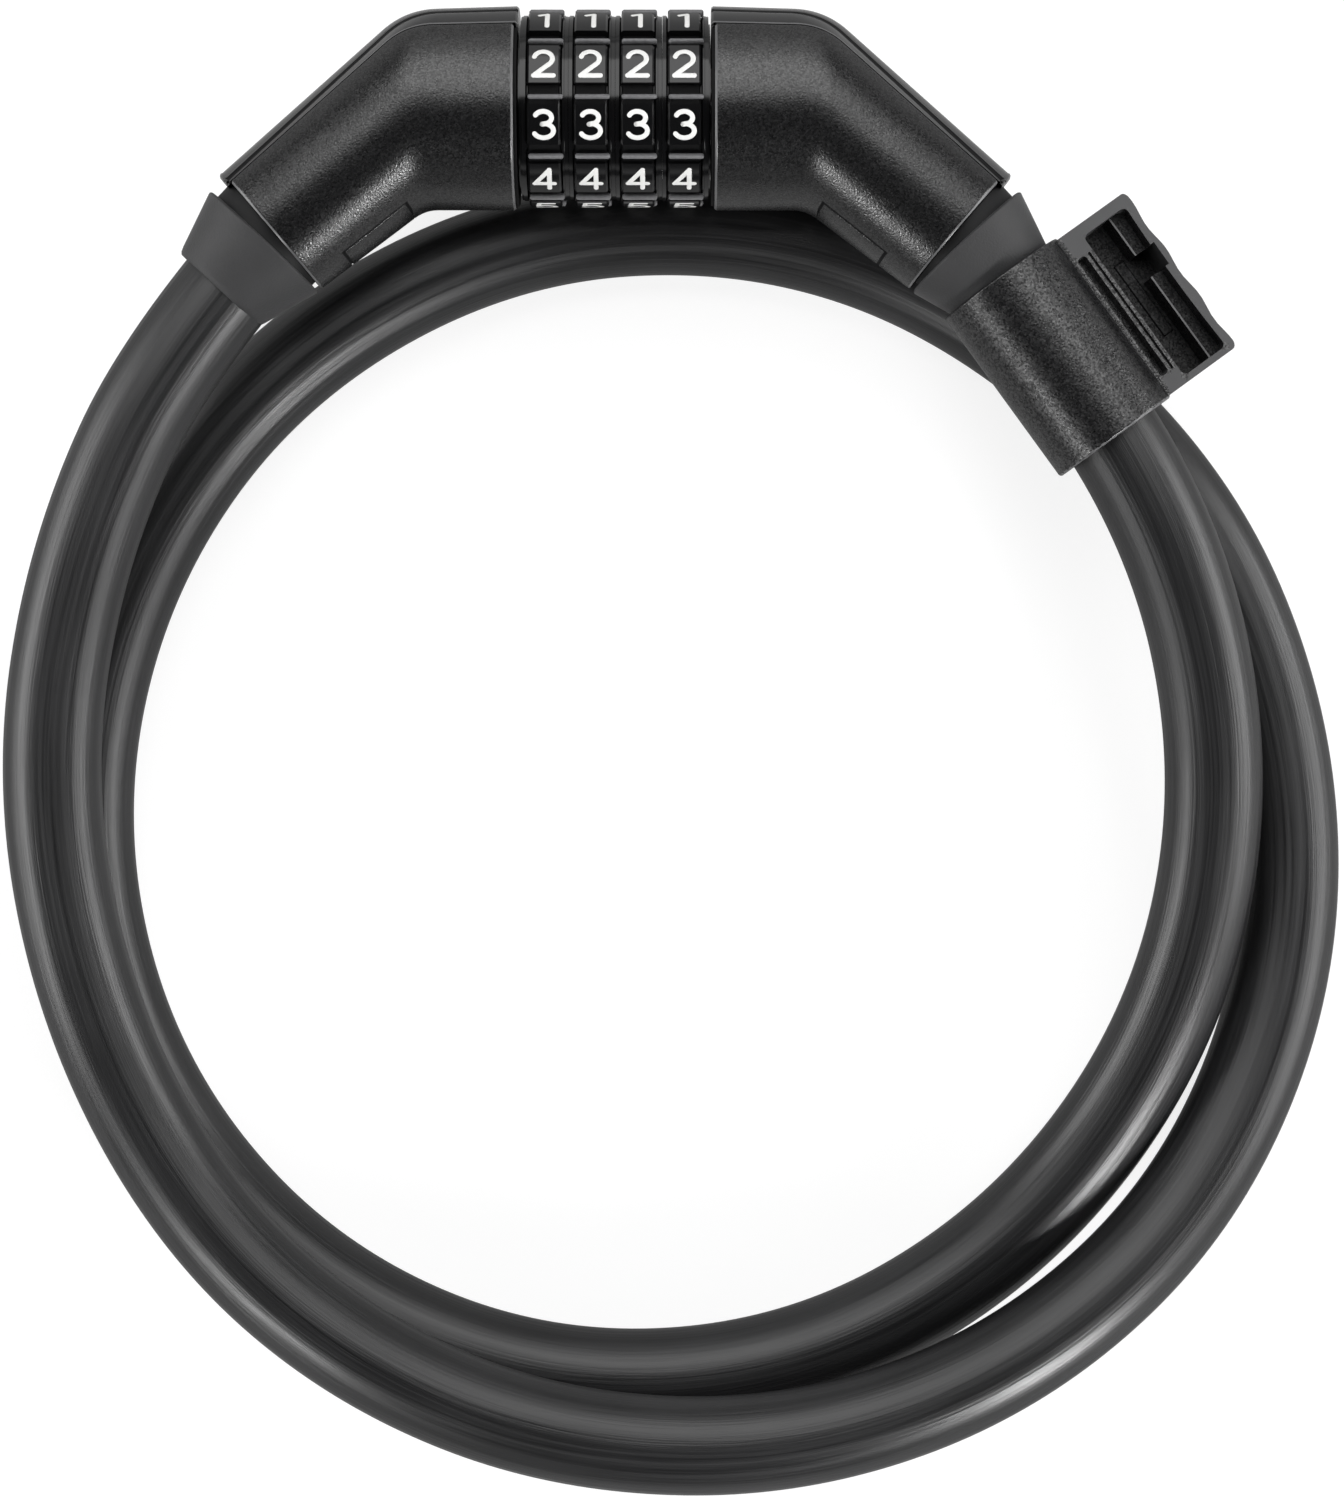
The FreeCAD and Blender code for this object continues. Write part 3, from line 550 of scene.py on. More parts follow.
def housing(name, mirror, body, node, bore):
    """The grained housing from the dial end to the mouth, with its bores and bare label plate."""
    bm = bmesh.new()
    # Rings stand close together beside both chamfers, which keeps their light lines narrow
    rim_end = FACE + RIM_WIDTH
    straight = [rim_end, rim_end + RIM_CHAMFER, rim_end + RIM_CHAMFER + CHAMFER_RING_GAP,
                FACE + RING_GAP, FACE + 2 * RING_GAP]
    plate_places = [PLATE_FROM_MOUTH + PLATE_LENGTH * (n / PLATE_STEPS)
                    for n in range(PLATE_STEPS, -1, -1)]
    mouth_places = [RING_GAP / 2, MOUTH_CHAMFER + 2 * CHAMFER_RING_GAP, MOUTH_CHAMFER]
    points = housing_rings(straight, plate_places + mouth_places)
    axis = Vector((0, 1, 0))
    narrowed = Vector((1, RIM_CHAMFER_SHARE, RIM_CHAMFER_SHARE))
    points[0] = [point * narrowed for point in points[0]]
    rim = [point * Vector((1, RIM_SHARE, RIM_SHARE)) for point in points[0]]
    face = [point - Vector((RIM_WIDTH, 0, 0)) for point in rim]
    start = shrunk(face, Vector((FACE, 0, 0)), axis, bore)
    inner = [point + Vector((BORE_DEPTH, 0, 0)) for point in start]
    back = MOUTH - heading(BEND_ANGLE) * MOUTH_CHAMFER
    edge = [MOUTH + (point - back) * MOUTH_SHARE for point in points[-1]]
    end = shrunk(edge, MOUTH, outward(BEND_ANGLE), CABLE_BORE)
    deep = [point - heading(BEND_ANGLE) * BORE_DEPTH for point in end]
    dial_end = [inner, start, face, rim]
    rings = [ring_of(bm, ring) for ring in dial_end + points + [edge, end, deep]]
    bands = [skin_between(bm, first, second) for first, second in zip(rings, rings[1:])]
    bmesh.ops.contextual_create(bm, geom=rings[0])
    bmesh.ops.contextual_create(bm, geom=rings[-1])
    materials = [housing_plastic, gloss_plastic, recess_shade_plastic, edge_highlight_plastic]
    rim_band, mouth_band = bands[len(dial_end)], bands[-3]
    # The bore, the end face, the rim and the step beside it get the painted shade of the gap at the
    # wheels; the chamfers at the dial end and at the mouth get the lighter grey of a painted highlight
    for band in bands[:len(dial_end)]:
        paint(band, materials, recess_shade_plastic)
    paint(rim_band + mouth_band, materials, edge_highlight_plastic)
    for band in bands:
        paint((band[0], band[RING_POINTS + 1]), materials, gloss_plastic)
    plate = []
    plate_start = len(dial_end) + len(straight) + BEND_STEPS + 1
    for band in bands[plate_start:plate_start + PLATE_STEPS]:
        for piece in band:
            centre = piece.calc_center_median() - MOUTH
            turn = math.degrees(math.atan2(abs(centre.z), -centre.dot(outward(BEND_ANGLE))))
            if turn < PLATE_HALF_TURN:
                plate.append(piece)
    inset = bmesh.ops.inset_region(bm, faces=plate, thickness=PLATE_BORDER, use_even_offset=True)
    border = inset["faces"]
    # The groove round the label plate gets the painted shade
    paint(border, materials, recess_shade_plastic)
    bmesh.ops.inset_region(bm, faces=border, thickness=PLATE_GROOVE, depth=-PLATE_GROOVE_DEPTH,
                           use_even_offset=True)
    shell = finish_mesh(bm, name, materials, mirror)
    soften(shell, HOUSING_EDGE, 3, 50)
    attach(shell, body)
    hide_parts(node)


housing("right_housing", False, "plug_half", "plug_shell", PLUG_BORE)
housing("left_housing", True, "lock_half", "body_shell", BARREL_BORE)


# Glossy strips. A polished strip lies on each housing's flat seat, from the dial end round the
# outside of the bend to just past the mouth, with a narrow raised band along its middle.
STRIP_BAND_HALF = 5.5
STRIP_PROUD = 0.10
STRIP_SUNK = 0.06
STRIP_GROOVE = 1.4
STRIP_STEP = 0.12
STRIP_GAP = 0.32
STRIP_LOW = 0.1
STRIP_NOSE = 0.3
STRIP_NOSE_DROP = 0.25
STRIP_NOSE_SHARE = 0.97
STRIP_RINGS_FROM_MOUTH = [18.0, 12.0, 6.0, 0.0]
# how far past the mouth, and how much lower, the end of the strip is as it rolls over
STRIP_LIP = [(0.3, 0.0), (0.6, 0.15), (0.8, 0.5)]
STRIP_LIP_LEVEL = 9.3
STRIP_EDGE = 0.1
STRIP_POINTS = 10


def strip_section(radius, level):
    """Points of the strip's section: a domed top with a raised middle band, and a flat back."""
    corner = math.acos((radius - level) / radius) - STRIP_GAP / radius
    band = math.asin(STRIP_BAND_HALF / radius)
    near, far = band + STRIP_STEP / radius, band + STRIP_GROOVE / radius
    foot = band + (STRIP_GROOVE + STRIP_STEP) / radius
    side = [(near, -STRIP_SUNK), (far, -STRIP_SUNK)]
    side += [(foot + (corner - foot) * n / STRIP_POINTS, 0.0) for n in range(STRIP_POINTS + 1)]
    middle = [(-band + 2 * band * n / STRIP_POINTS, STRIP_PROUD) for n in range(STRIP_POINTS + 1)]
    found = [(-turn, proud) for turn, proud in reversed(side)] + middle + side
    return [((radius + proud) * math.cos(turn), (radius + proud) * math.sin(turn))
            for turn, proud in found]


def strip(name, mirror, body, node):
    """One strip, from its rounded end at the dial to its rounded lip past the mouth."""
    bm = bmesh.new()
    sections = [strip_section(radius - STRIP_LOW, level - STRIP_LOW) for level, radius in SECTIONS]
    lines = [skin_line(start, base, mouth, [FACE + STRIP_NOSE, FACE + RING_GAP], STRIP_RINGS_FROM_MOUTH)
             for start, base, mouth in zip(*sections)]
    points = [list(ring) for ring in zip(*lines)]
    front = [Vector((FACE, point.y - STRIP_NOSE_DROP, point.z * STRIP_NOSE_SHARE)) for point in points[0]]
    rings = [ring_of(bm, ring) for ring in [front] + points]
    for past, level in STRIP_LIP:
        radius = MOUTH_RADIUS - level
        middle = MOUTH + heading(BEND_ANGLE) * past
        section = strip_section(radius, radius - STRIP_LIP_LEVEL)
        lip = [stretched(point, MOUTH_STRETCH) for point in section]
        rings.append(ring_of(bm, [middle + outward(BEND_ANGLE) * side + Vector((0, 0, lift))
                                  for side, lift in lip]))
    # The grooves beside the raised band are matt black, painted shade, and the two thin edges are painted
    # a lighter grey as a highlight
    materials = [gloss_plastic, recess_shade_plastic, edge_highlight_plastic]
    for first, second in zip(rings, rings[1:]):
        band = skin_between(bm, first, second)
        paint((band[STRIP_POINTS + 1], band[2 * STRIP_POINTS + 4]), materials, recess_shade_plastic)
        paint((band[0], band[-2]), materials, edge_highlight_plastic)
    bmesh.ops.contextual_create(bm, geom=rings[0])
    bmesh.ops.contextual_create(bm, geom=rings[-1])
    cover = finish_mesh(bm, name, materials, mirror)
    soften(cover, STRIP_EDGE)
    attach(cover, body)
    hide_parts(node)


strip("right_strip", False, "plug_half", "plug_cover")
strip("left_strip", True, "lock_half", "body_cover")


# Boots. A flared boot of satin rubber on each mouth: a short neck, then a cone that narrows onto
# the cable, pressed on so that it keeps the cable from kinking where it leaves.
EXIT_ANGLE = 47.0
BOOT_GAP = 1.9
BOOT_NECK = 9.7
BOOT_RADIUS = 11.05
BOOT_NOSE = 8.1
BOOT_LENGTH = 10.1
BOOT_BORE = 7.56
BOOT_RIM = 0.3
# distance back from the boot's end and radius over BOOT_NOSE, round its rolled nose
BOOT_ROLL = [(1.1, 0.3), (0.4, 0.02), (0.05, -0.3)]
BOOT_EDGE = 0.2
# distance below which two places count as one, and the one at which doubled corners are merged
NEAR = 0.01
MERGED = 0.0005

# Moulded synthetic rubber: soft satin sheen over a dark grey with a dusty bloom
boot_rubber, tree, coords = new_material("moulded_satin_rubber")
bloom = noise(tree, coords, 5, 4.0, 0.6)
pores = noise(tree, coords, 0.35, 1.0)
colour = blended(tree, linear("#202021"), linear("#2c2c2d"), bloom)
skin(tree, {"Roughness": 0.62, "IOR": 1.5, "Sheen Weight": 0.08, "Sheen Roughness": 0.4},
     {"Base Color": colour}, pores, 0.05)

# The same rubber on the neck, darker and less shiny: painted shade for the gap under the housing's mouth
neck_shade_rubber, tree, coords = new_material("rubber_painted_neck_shade")
rubs = noise(tree, coords, 2, 3.0)
skin(tree, {"Base Color": linear("#151516"), "Roughness": 0.6, "Specular IOR Level": 0.3}, {}, rubs, 0.02)


def spun(bm, outline, steps=96):
    """A closed outline of (x, radius) points, turned all the way round X."""
    corners = [bm.verts.new((x, radius, 0)) for x, radius in outline]
    edges = [bm.edges.new(pair) for pair in zip(corners, corners[1:] + corners[:1])]
    bmesh.ops.spin(bm, geom=corners + edges, cent=(0, 0, 0), axis=(1, 0, 0), angle=2 * math.pi,
                   steps=steps, use_merge=True, use_duplicate=False)
    bmesh.ops.remove_doubles(bm, verts=bm.verts, dist=MERGED)


def boot(name, mirror, body, node):
    """One boot: its neck, its flare and its rolled nose, cut to lie against the slanting mouth."""
    bm = bmesh.new()
    end = BOOT_GAP + BOOT_LENGTH
    outline = [(0, BOOT_BORE), (0, BOOT_NECK), (BOOT_GAP, BOOT_NECK), (BOOT_GAP, BOOT_RADIUS - BOOT_RIM),
               (BOOT_GAP + BOOT_RIM, BOOT_RADIUS)]
    outline += [(end - before, BOOT_NOSE + over) for before, over in BOOT_ROLL]
    spun(bm, outline + [(end, BOOT_BORE)])
    lean = math.tan(math.radians(EXIT_ANGLE - BEND_ANGLE))
    for vertex in bm.verts:
        if vertex.co.x < NEAR:
            vertex.co.x = -vertex.co.y * lean
    materials = [boot_rubber, neck_shade_rubber]
    # The neck gets the painted shade
    neck = [face for face in bm.faces if face.calc_center_median().x < BOOT_GAP - NEAR]
    paint(neck, materials, neck_shade_rubber)
    laid = Matrix.Translation(MOUTH) @ Matrix.Rotation(-math.radians(EXIT_ANGLE), 4, "Z")
    bmesh.ops.transform(bm, matrix=laid, verts=bm.verts)
    sleeve = finish_mesh(bm, name, materials, mirror)
    soften(sleeve, BOOT_EDGE, 3)
    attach(sleeve, body)
    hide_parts(node)


boot("right_boot", False, "plug_half", "plug_boot")
boot("left_boot", True, "lock_half", "body_boot")


# Number wheels. Four glossy moulded wheels, each with ten raised pads between low flanges, and
# under each pad a groove, a rib for the fingertip and a step.
WHEEL_COUNT = 4
WHEEL_WIDTH = 6.6
WHEEL_PITCH = 6.97
DIGITS = 10
DIGIT_STEP = 360 / DIGITS
READING_LINE = 90
PAD_RADIUS = 14.8
PAD_BAND = 4.96
PAD_HALF_ANGLE = 11.8
PAD_ARC_STEPS = 8
PAD_EDGE = 0.3
FLANGE_RADIUS = 13.9
FLANGE_SLOPE = 0.25
# the step down at a wheel's right edge: its height, and where it starts and ends
FLANGE_STEP = 0.12
FLANGE_STEP_START = 0.3
FLANGE_STEP_END = 0.25
GROOVE_RADIUS = 13.7
GROOVE_ANGLE = 6.6
RIB_RADIUS = 15.0
RIB_HALF = 0.36
RIB_TALL = 1.6
RIB_INSET = 0.1
RIB_PAST_PAD = 0.45
RIB_ROUND = (25, 45, 65, 90)
STEP_RADIUS = 14.35
STEP_FOOT = 0.5
WHEEL_BORE = 9.55
SHOULDER_RADIUS = 13.75
SHOULDER = 0.32
BAND_FOOT = 13.2
WHEEL_EDGE = 0.09

wheel_gloss = polished_plastic("polished_wheel_abs", "#0e0e0f", rough=0.13)

# The same plastic on the ribs, rubbed dull by fingertips, and painted light grey as the highlight they
# catch from every side
rib_highlight_plastic, tree, coords = new_material("rib_painted_highlight_abs")
rubs = noise(tree, coords, 0.5, 3.0)
colour = blended(tree, linear("#4a4a4b"), linear("#747476"), rubs)
skin(tree, {"Roughness": 0.5, "IOR": 1.52}, {"Base Color": colour}, rubs, 0.02)
WHEEL_MATERIALS = [wheel_gloss, rib_highlight_plastic, recess_shade_plastic]


def wheel_point(radius, angle, x=0.0):
    """Place on a wheel; READING_LINE is the angle of its outer side."""
    turn = math.radians(angle)
    return Vector((x, radius * math.sin(turn), radius * math.cos(turn)))


def pad_corners(digit):
    """Radius and angle of the corners from one pad down to the next."""
    top = READING_LINE - DIGIT_STEP * digit
    groove = top - PAD_HALF_ANGLE
    rib = groove - GROOVE_ANGLE
    pad = [(PAD_RADIUS, top + PAD_HALF_ANGLE - 2 * PAD_HALF_ANGLE * n / PAD_ARC_STEPS)
           for n in range(PAD_ARC_STEPS + 1)]
    return pad + [(GROOVE_RADIUS, groove), (GROOVE_RADIUS, rib), (STEP_RADIUS, rib - STEP_FOOT),
                  (STEP_RADIUS, top - DIGIT_STEP + PAD_HALF_ANGLE)]


def add_shape(bm, shape):
    """Add one shape's faces to another, and free it."""
    carrier = bpy.data.meshes.new("carrier")
    shape.to_mesh(carrier)
    shape.free()
    bm.from_mesh(carrier)
    bpy.data.meshes.remove(carrier)


def finger_rib(digit):
    """The round-ended rib for the fingertip under one pad."""
    start, end = -PAD_BAND / 2 + RIB_INSET, PAD_BAND / 2 + RIB_PAST_PAD
    tips = [(RIB_HALF * (1 - math.cos(tip)), RIB_HALF * math.sin(tip))
            for tip in map(math.radians, RIB_ROUND)]
    shape = bmesh.new()
    spun(shape, [(start + along, radius) for along, radius in tips]
         + [(end - along, radius) for along, radius in reversed(tips)], 16)
    groove_end = READING_LINE - DIGIT_STEP * digit - PAD_HALF_ANGLE - GROOVE_ANGLE
    angle = groove_end - math.degrees(RIB_HALF / RIB_RADIUS)
    laid = Matrix.Rotation(-math.radians(angle), 4, "X")
    laid = laid @ Matrix.Translation((0, 0, RIB_RADIUS - RIB_HALF * RIB_TALL))
    bmesh.ops.transform(shape, matrix=laid @ Matrix.Diagonal((1, 1, RIB_TALL, 1)), verts=shape.verts)
    # The rib is painted light grey as its highlight
    paint(shape.faces, WHEEL_MATERIALS, rib_highlight_plastic)
    return shape


def wheel(number, x):
    """One wheel: its spun body, its band of pads and grooves, and its ribs."""
    bm = bmesh.new()
    half, band = WHEEL_WIDTH / 2, PAD_BAND / 2
    near = half + SHOULDER if number == 1 else half
    slope_foot, step_radius = BAND_FOOT + FLANGE_SLOPE, FLANGE_RADIUS - FLANGE_STEP
    spun(bm, [(-near, WHEEL_BORE), (-near, SHOULDER_RADIUS), (-half, SHOULDER_RADIUS),
              (-half, FLANGE_RADIUS), (-band - FLANGE_SLOPE, FLANGE_RADIUS), (-band, slope_foot),
              (band, slope_foot), (band + FLANGE_SLOPE, FLANGE_RADIUS),
              (half - FLANGE_STEP_START, FLANGE_RADIUS), (half - FLANGE_STEP_END, step_radius),
              (half, step_radius), (half, SHOULDER_RADIUS),
              (half + SHOULDER, SHOULDER_RADIUS), (half + SHOULDER, WHEEL_BORE)], 120)
    corners = [corner for digit in range(DIGITS) for corner in pad_corners(digit)]
    feet = [wheel_point(BAND_FOOT, angle) for radius, angle in corners]
    sides = [wheel_point(radius - PAD_EDGE, angle) for radius, angle in corners]
    tops = [wheel_point(radius, angle) for radius, angle in corners]
    profile = [(feet, band), (sides, band), (tops, band - PAD_EDGE)]
    across = [(points, -place) for points, place in profile] + profile[::-1]
    rims = [ring_of(bm, [point + Vector((place, 0, 0)) for point in points]) for points, place in across]
    for first, second in zip(rims, rims[1:] + rims[:1]):
        grooves = [face for place, face in enumerate(skin_between(bm, first, second))
                   if PAD_ARC_STEPS <= place % len(pad_corners(0)) <= PAD_ARC_STEPS + 2]
        # The grooves under the pads get the painted shade
        paint(grooves, WHEEL_MATERIALS, recess_shade_plastic)
    for digit in range(DIGITS):
        add_shape(bm, finger_rib(digit))
    bmesh.ops.translate(bm, vec=(x, 0, 0), verts=bm.verts)
    dial = finish_mesh(bm, "wheel_%d_body" % number, WHEEL_MATERIALS)
    soften(dial, WHEEL_EDGE)
    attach(dial, "wheel_%d" % number)
    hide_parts("dial_%d" % number)


WHEELS = [WHEEL_PITCH * (n - (WHEEL_COUNT - 1) / 2) for n in range(WHEEL_COUNT)]
for number, x in enumerate(WHEELS, start=1):
    wheel(number, x)


# Digits. Plain round-ended figures 5 mm high, printed in thick white ink on every pad. Each is
# drawn with a round pen along lines and arcs, pressed flat and laid round the wheel.
PEN = 0.74
PEN_STEP = 0.3
# the turn in a line, in radians, over which a round blot of the pen fills its corner
SHARP_TURN = 0.5
INK_HEIGHT = 0.035
HALF_WIDE = 1.47
HALF_TALL = 1.97


def arc(x, y, wide, tall, start, end, steps=18):
    """Points along part of an oval."""
    turns = [math.radians(start + (end - start) * n / steps) for n in range(steps + 1)]
    return [(x + wide * math.cos(turn), y + tall * math.sin(turn)) for turn in turns]


W, H = HALF_WIDE, HALF_TALL
FIGURES = [
    [arc(0, 0, W, H, 90, 450, 36)],
    [[(-0.7, H - 0.45), (0.4, H), (0.4, -H)]],
    [arc(-0.05, 0.75, 1.36, 1.22, 165, -38) + [(-W, -H), (W, -H)]],
    [arc(-0.05, 1.03, 1.25, 0.94, 155, -60) + [(-0.2, 0.08)],
     [(-0.2, 0.08)] + arc(0, -0.90, W, 1.07, 75, -155)],
    [[(0.72, -H), (0.72, H), (-W, -0.87), (W, -0.87)]],
    [[(1.15, H), (-1.0, H), (-1.2, 0.22)] + arc(0, -0.66, W, 1.31, 125, -150)],
    [[(0.78, H), (-0.35, 1.15)] + arc(0, -0.66, W, 1.31, 150, 510, 36)],
    [[(-W, H), (W, H), (-0.42, -H)]],
    [arc(0, 1.05, 1.15, 0.92, -90, 270, 30), arc(0, -0.91, W, 1.06, 90, 450, 36)],
    [[(-0.78, -H), (0.35, -1.15)] + arc(0, 0.66, W, 1.31, -30, 330, 36)],
]

# Thick printing ink: clean matt white with a slightly uneven edge
white_ink, tree, coords = new_material("printed_white_ink")
blots = noise(tree, coords, 0.8, 2.0)
colour = blended(tree, linear("#d8d8d6"), linear("#e9e9e7"), blots)
skin(tree, {"Roughness": 0.45, "IOR": 1.5}, {"Base Color": colour}, blots, 0.01)


def divided(marks, step):
    """Marks with more places between them, no further apart than step."""
    found = [marks[0]]
    for a, b in zip(marks, marks[1:]):
        count = max(1, math.ceil((Vector(b) - Vector(a)).length / step))
        found += [tuple(Vector(a).lerp(Vector(b), n / count)) for n in range(1, count + 1)]
    return found


def figure(bm, strokes, angle, x):
    """One figure laid round a wheel at an angle."""
    for corners in strokes:
        stroke = divided(corners, PEN_STEP)
        pen = bpy.data.curves.new("pen", "CURVE")
        pen.dimensions = "3D"
        pen.bevel_depth = PEN / 2
        pen.bevel_resolution = 2
        path = pen.splines.new("POLY")
        path.points.add(len(stroke) - 1)
        for point, (across, up) in zip(path.points, stroke):
            point.co = (across, up, 0.0, 1.0)
        drawn = bpy.data.objects.new("pen", pen)
        bpy.context.scene.collection.objects.link(drawn)
        part = bmesh.new()
        part.from_mesh(as_mesh(drawn))
        bpy.data.objects.remove(drawn)
        sharp = [corners[0], corners[-1]]
        for before, at, after in zip(corners, corners[1:], corners[2:]):
            if (Vector(at) - Vector(before)).angle(Vector(after) - Vector(at)) > SHARP_TURN:
                sharp.append(at)
        for across, up in sharp:
            bmesh.ops.create_uvsphere(part, u_segments=12, v_segments=8, radius=PEN / 2,
                                      matrix=Matrix.Translation((across, up, 0)))
        for vertex in part.verts:
            lift = PAD_RADIUS + vertex.co.z / (PEN / 2) * INK_HEIGHT
            turn = angle + math.degrees(vertex.co.y / PAD_RADIUS)
            vertex.co = wheel_point(lift, turn, x + vertex.co.x)
        add_shape(bm, part)


for number, x in enumerate(WHEELS, start=1):
    bm = bmesh.new()
    for digit, strokes in enumerate(FIGURES):
        figure(bm, strokes, READING_LINE - DIGIT_STEP * digit, x)
    digits = finish_mesh(bm, "wheel_%d_digits" % number, [white_ink])
    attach(digits, "wheel_%d" % number)


# Holder. A stiff grained clip on the cable: a round collar with a rubber sleeve inside, and beside
# it a flat head whose open pocket slides onto a clip on the bicycle's frame.
HOLDER_START_MM = (48.896, 71.637, 26.0)
HOLDER_ANGLE = 54.0
HOLDER_ROLL = -9.0
HOLDER_LENGTH = 29.6
HOLDER_RADIUS = 10.3
HOLDER_BORE = 8.75
HOLDER_MOUTH_BORE = 9.6
HOLDER_MOUTH_DEPTH = 3.0
HOLDER_CHAMFER = 0.3
HEAD_START = 0.35
HEAD_END = 29.25
HEAD_REACH = 22.3
HEAD_TOP = 5.0
HEAD_BOTTOM = -7.5
HEAD_CORNER = 1.6
ROOT_ROUND = 1.0
ROOT_STEPS = 5
ROOT_FOOT = 11.0
HEAD_WAVE = 0.22
HEAD_WAVES = 3
HEAD_STEP = 1.6
POCKET_START = 2.2
POCKET_END = 28.2
POCKET_INNER = 12.8
POCKET_OUTER = 20.9
POCKET_BOW = 0.35
POCKET_DEPTH = 7.5
POCKET_CORNER = 0.9
LEDGE_INNER = 18.6
LEDGE_EDGE = 0.28
LEDGE_DEPTH = 3.0
LATCH_START = 9.1
LATCH_END = 13.1
LATCH_REACH = 21.5
LATCH_BOW = 0.75 * POCKET_BOW
SLOT_START = 4.6
SLOT_END = 26.3
SLOT_INNER = 9.75
SLOT_OUTER = 11.3
SLOT_DEPTH = 2.6
SLOT_CORNER = 0.55
GROOVE_INNER = 11.85
GROOVE_OUTER = 12.25
GROOVE_DEPTH = 0.8
GROOVE_CORNER = 0.15
PANEL_START = 8.4
PANEL_END = 21.6
PANEL_INNER = 16.2
PANEL_OUTER = 18.1
PANEL_BORDER = 0.2
PANEL_RAISED = 0.25
HOLDER_EDGE = 0.3
SHARP_CORNER = 50
HOLDER_GRAIN_MM = 0.25
HOLDER_BLACK = "#0c0c0d"

# Nylon with a coarser spark-eroded grain and a strong speckle
holder_plastic = grained_plastic("coarse_grained_nylon", HOLDER_BLACK, HOLDER_GRAIN_MM, depth_mm=0.035,
                                 rough=0.30, speckle=0.34)
# The same grain in the pocket and on the head's back, rougher and made less reflective: painted shade for
# the deep pocket
pocket_shade_plastic = grained_plastic("grained_nylon_painted_pocket_shade", HOLDER_BLACK, HOLDER_GRAIN_MM, depth_mm=0.035,
                                 rough=0.50, speckle=0.34, ior=1.38)
# The head's rim and ends: satin, and painted greyer than the grain as the highlight they catch
rim_highlight_nylon = polished_plastic("nylon_painted_rim_highlight", "#3b3b3c", rough=0.42)
HOLDER_PLACE = (Matrix.Translation(HOLDER_START_MM) @ Matrix.Rotation(-math.radians(HOLDER_ANGLE), 4, "Z")
                @ Matrix.Rotation(math.radians(HOLDER_ROLL), 4, "X"))

bm = bmesh.new()
spun(bm, [(0, HOLDER_MOUTH_BORE), (0, HOLDER_RADIUS), (HOLDER_LENGTH - HOLDER_CHAMFER, HOLDER_RADIUS),
          (HOLDER_LENGTH, HOLDER_RADIUS - HOLDER_CHAMFER), (HOLDER_LENGTH, HOLDER_BORE),
          (HOLDER_MOUTH_DEPTH, HOLDER_BORE), (HOLDER_MOUTH_DEPTH, HOLDER_MOUTH_BORE)])
# The chamfer at the collar's far end is painted a lighter grey as an edge highlight
chamfer = [face for face in bm.faces
           if HOLDER_LENGTH - HOLDER_CHAMFER < face.calc_center_median().x < HOLDER_LENGTH - NEAR]
materials = [holder_plastic, edge_highlight_plastic]
paint(chamfer, materials, edge_highlight_plastic)
collar = finish_mesh(bm, "holder_collar_ring", materials, place=HOLDER_PLACE)
soften(collar, HOLDER_EDGE, 3)
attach(collar, "holder")
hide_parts("holder_collar")


def root_profile():
    """The round from the collar's skin onto the head's top, as (y, z) points."""
    lift = HEAD_TOP + ROOT_ROUND
    middle = math.sqrt((HOLDER_RADIUS + ROOT_ROUND)**2 - lift**2)
    start = math.atan2(-lift, -middle)
    turns = [start + (-math.pi / 2 - start) * n / ROOT_STEPS for n in range(1, ROOT_STEPS + 1)]
    return [(middle + ROOT_ROUND * math.cos(turn), lift + ROOT_ROUND * math.sin(turn)) for turn in turns]


marks = [HEAD_START, POCKET_START, SLOT_START, PANEL_START, LATCH_START, LATCH_END, PANEL_END, SLOT_END,
         POCKET_END, HEAD_END]
columns = [place for place, level in divided([(mark, 0.0) for mark in marks], HEAD_STEP)]
# y and z across the head, and how far the row bows towards the collar in its middle
rows = [(y, z, 0.0) for y, z in root_profile()]
rows += [(y, HEAD_TOP, 0.0) for y in (SLOT_INNER, SLOT_OUTER, GROOVE_INNER, GROOVE_OUTER, POCKET_INNER,
                                      PANEL_INNER, PANEL_OUTER, LEDGE_INNER, LEDGE_INNER + LEDGE_EDGE)]
rows += [(POCKET_OUTER, HEAD_TOP, POCKET_BOW), (LATCH_REACH, HEAD_TOP, LATCH_BOW),
         (HEAD_REACH, HEAD_TOP, 0.0)]
bm = bmesh.new()
bmesh.ops.create_grid(bm, x_segments=len(columns) - 1, y_segments=len(rows) - 1, size=1.0)
grid = sorted(bm.verts, key=lambda vertex: (round(vertex.co.y, 5), vertex.co.x))
for count, vertex in enumerate(grid):
    x = columns[count % len(columns)]
    y, z, bow = rows[count // len(columns)]
    share = (x - (POCKET_START + POCKET_END) / 2) / ((POCKET_END - POCKET_START) / 2)
    if y == HEAD_REACH:
        y -= HEAD_WAVE * (1 - math.cos(HEAD_WAVES * math.pi * (share + 1)))
    vertex.co = (x, y - bow * max(0.0, 1 - share**2), z)


def inside(bm, low, high, level=HEAD_TOP):
    """Faces at a level whose middle lies between two corners."""
    found = []
    for face in bm.faces:
        middle = face.calc_center_median()
        if abs(middle.z - level) < NEAR and all(a < b < c for a, b, c in zip(low, middle.xy, high)):
            found.append(face)
    return found


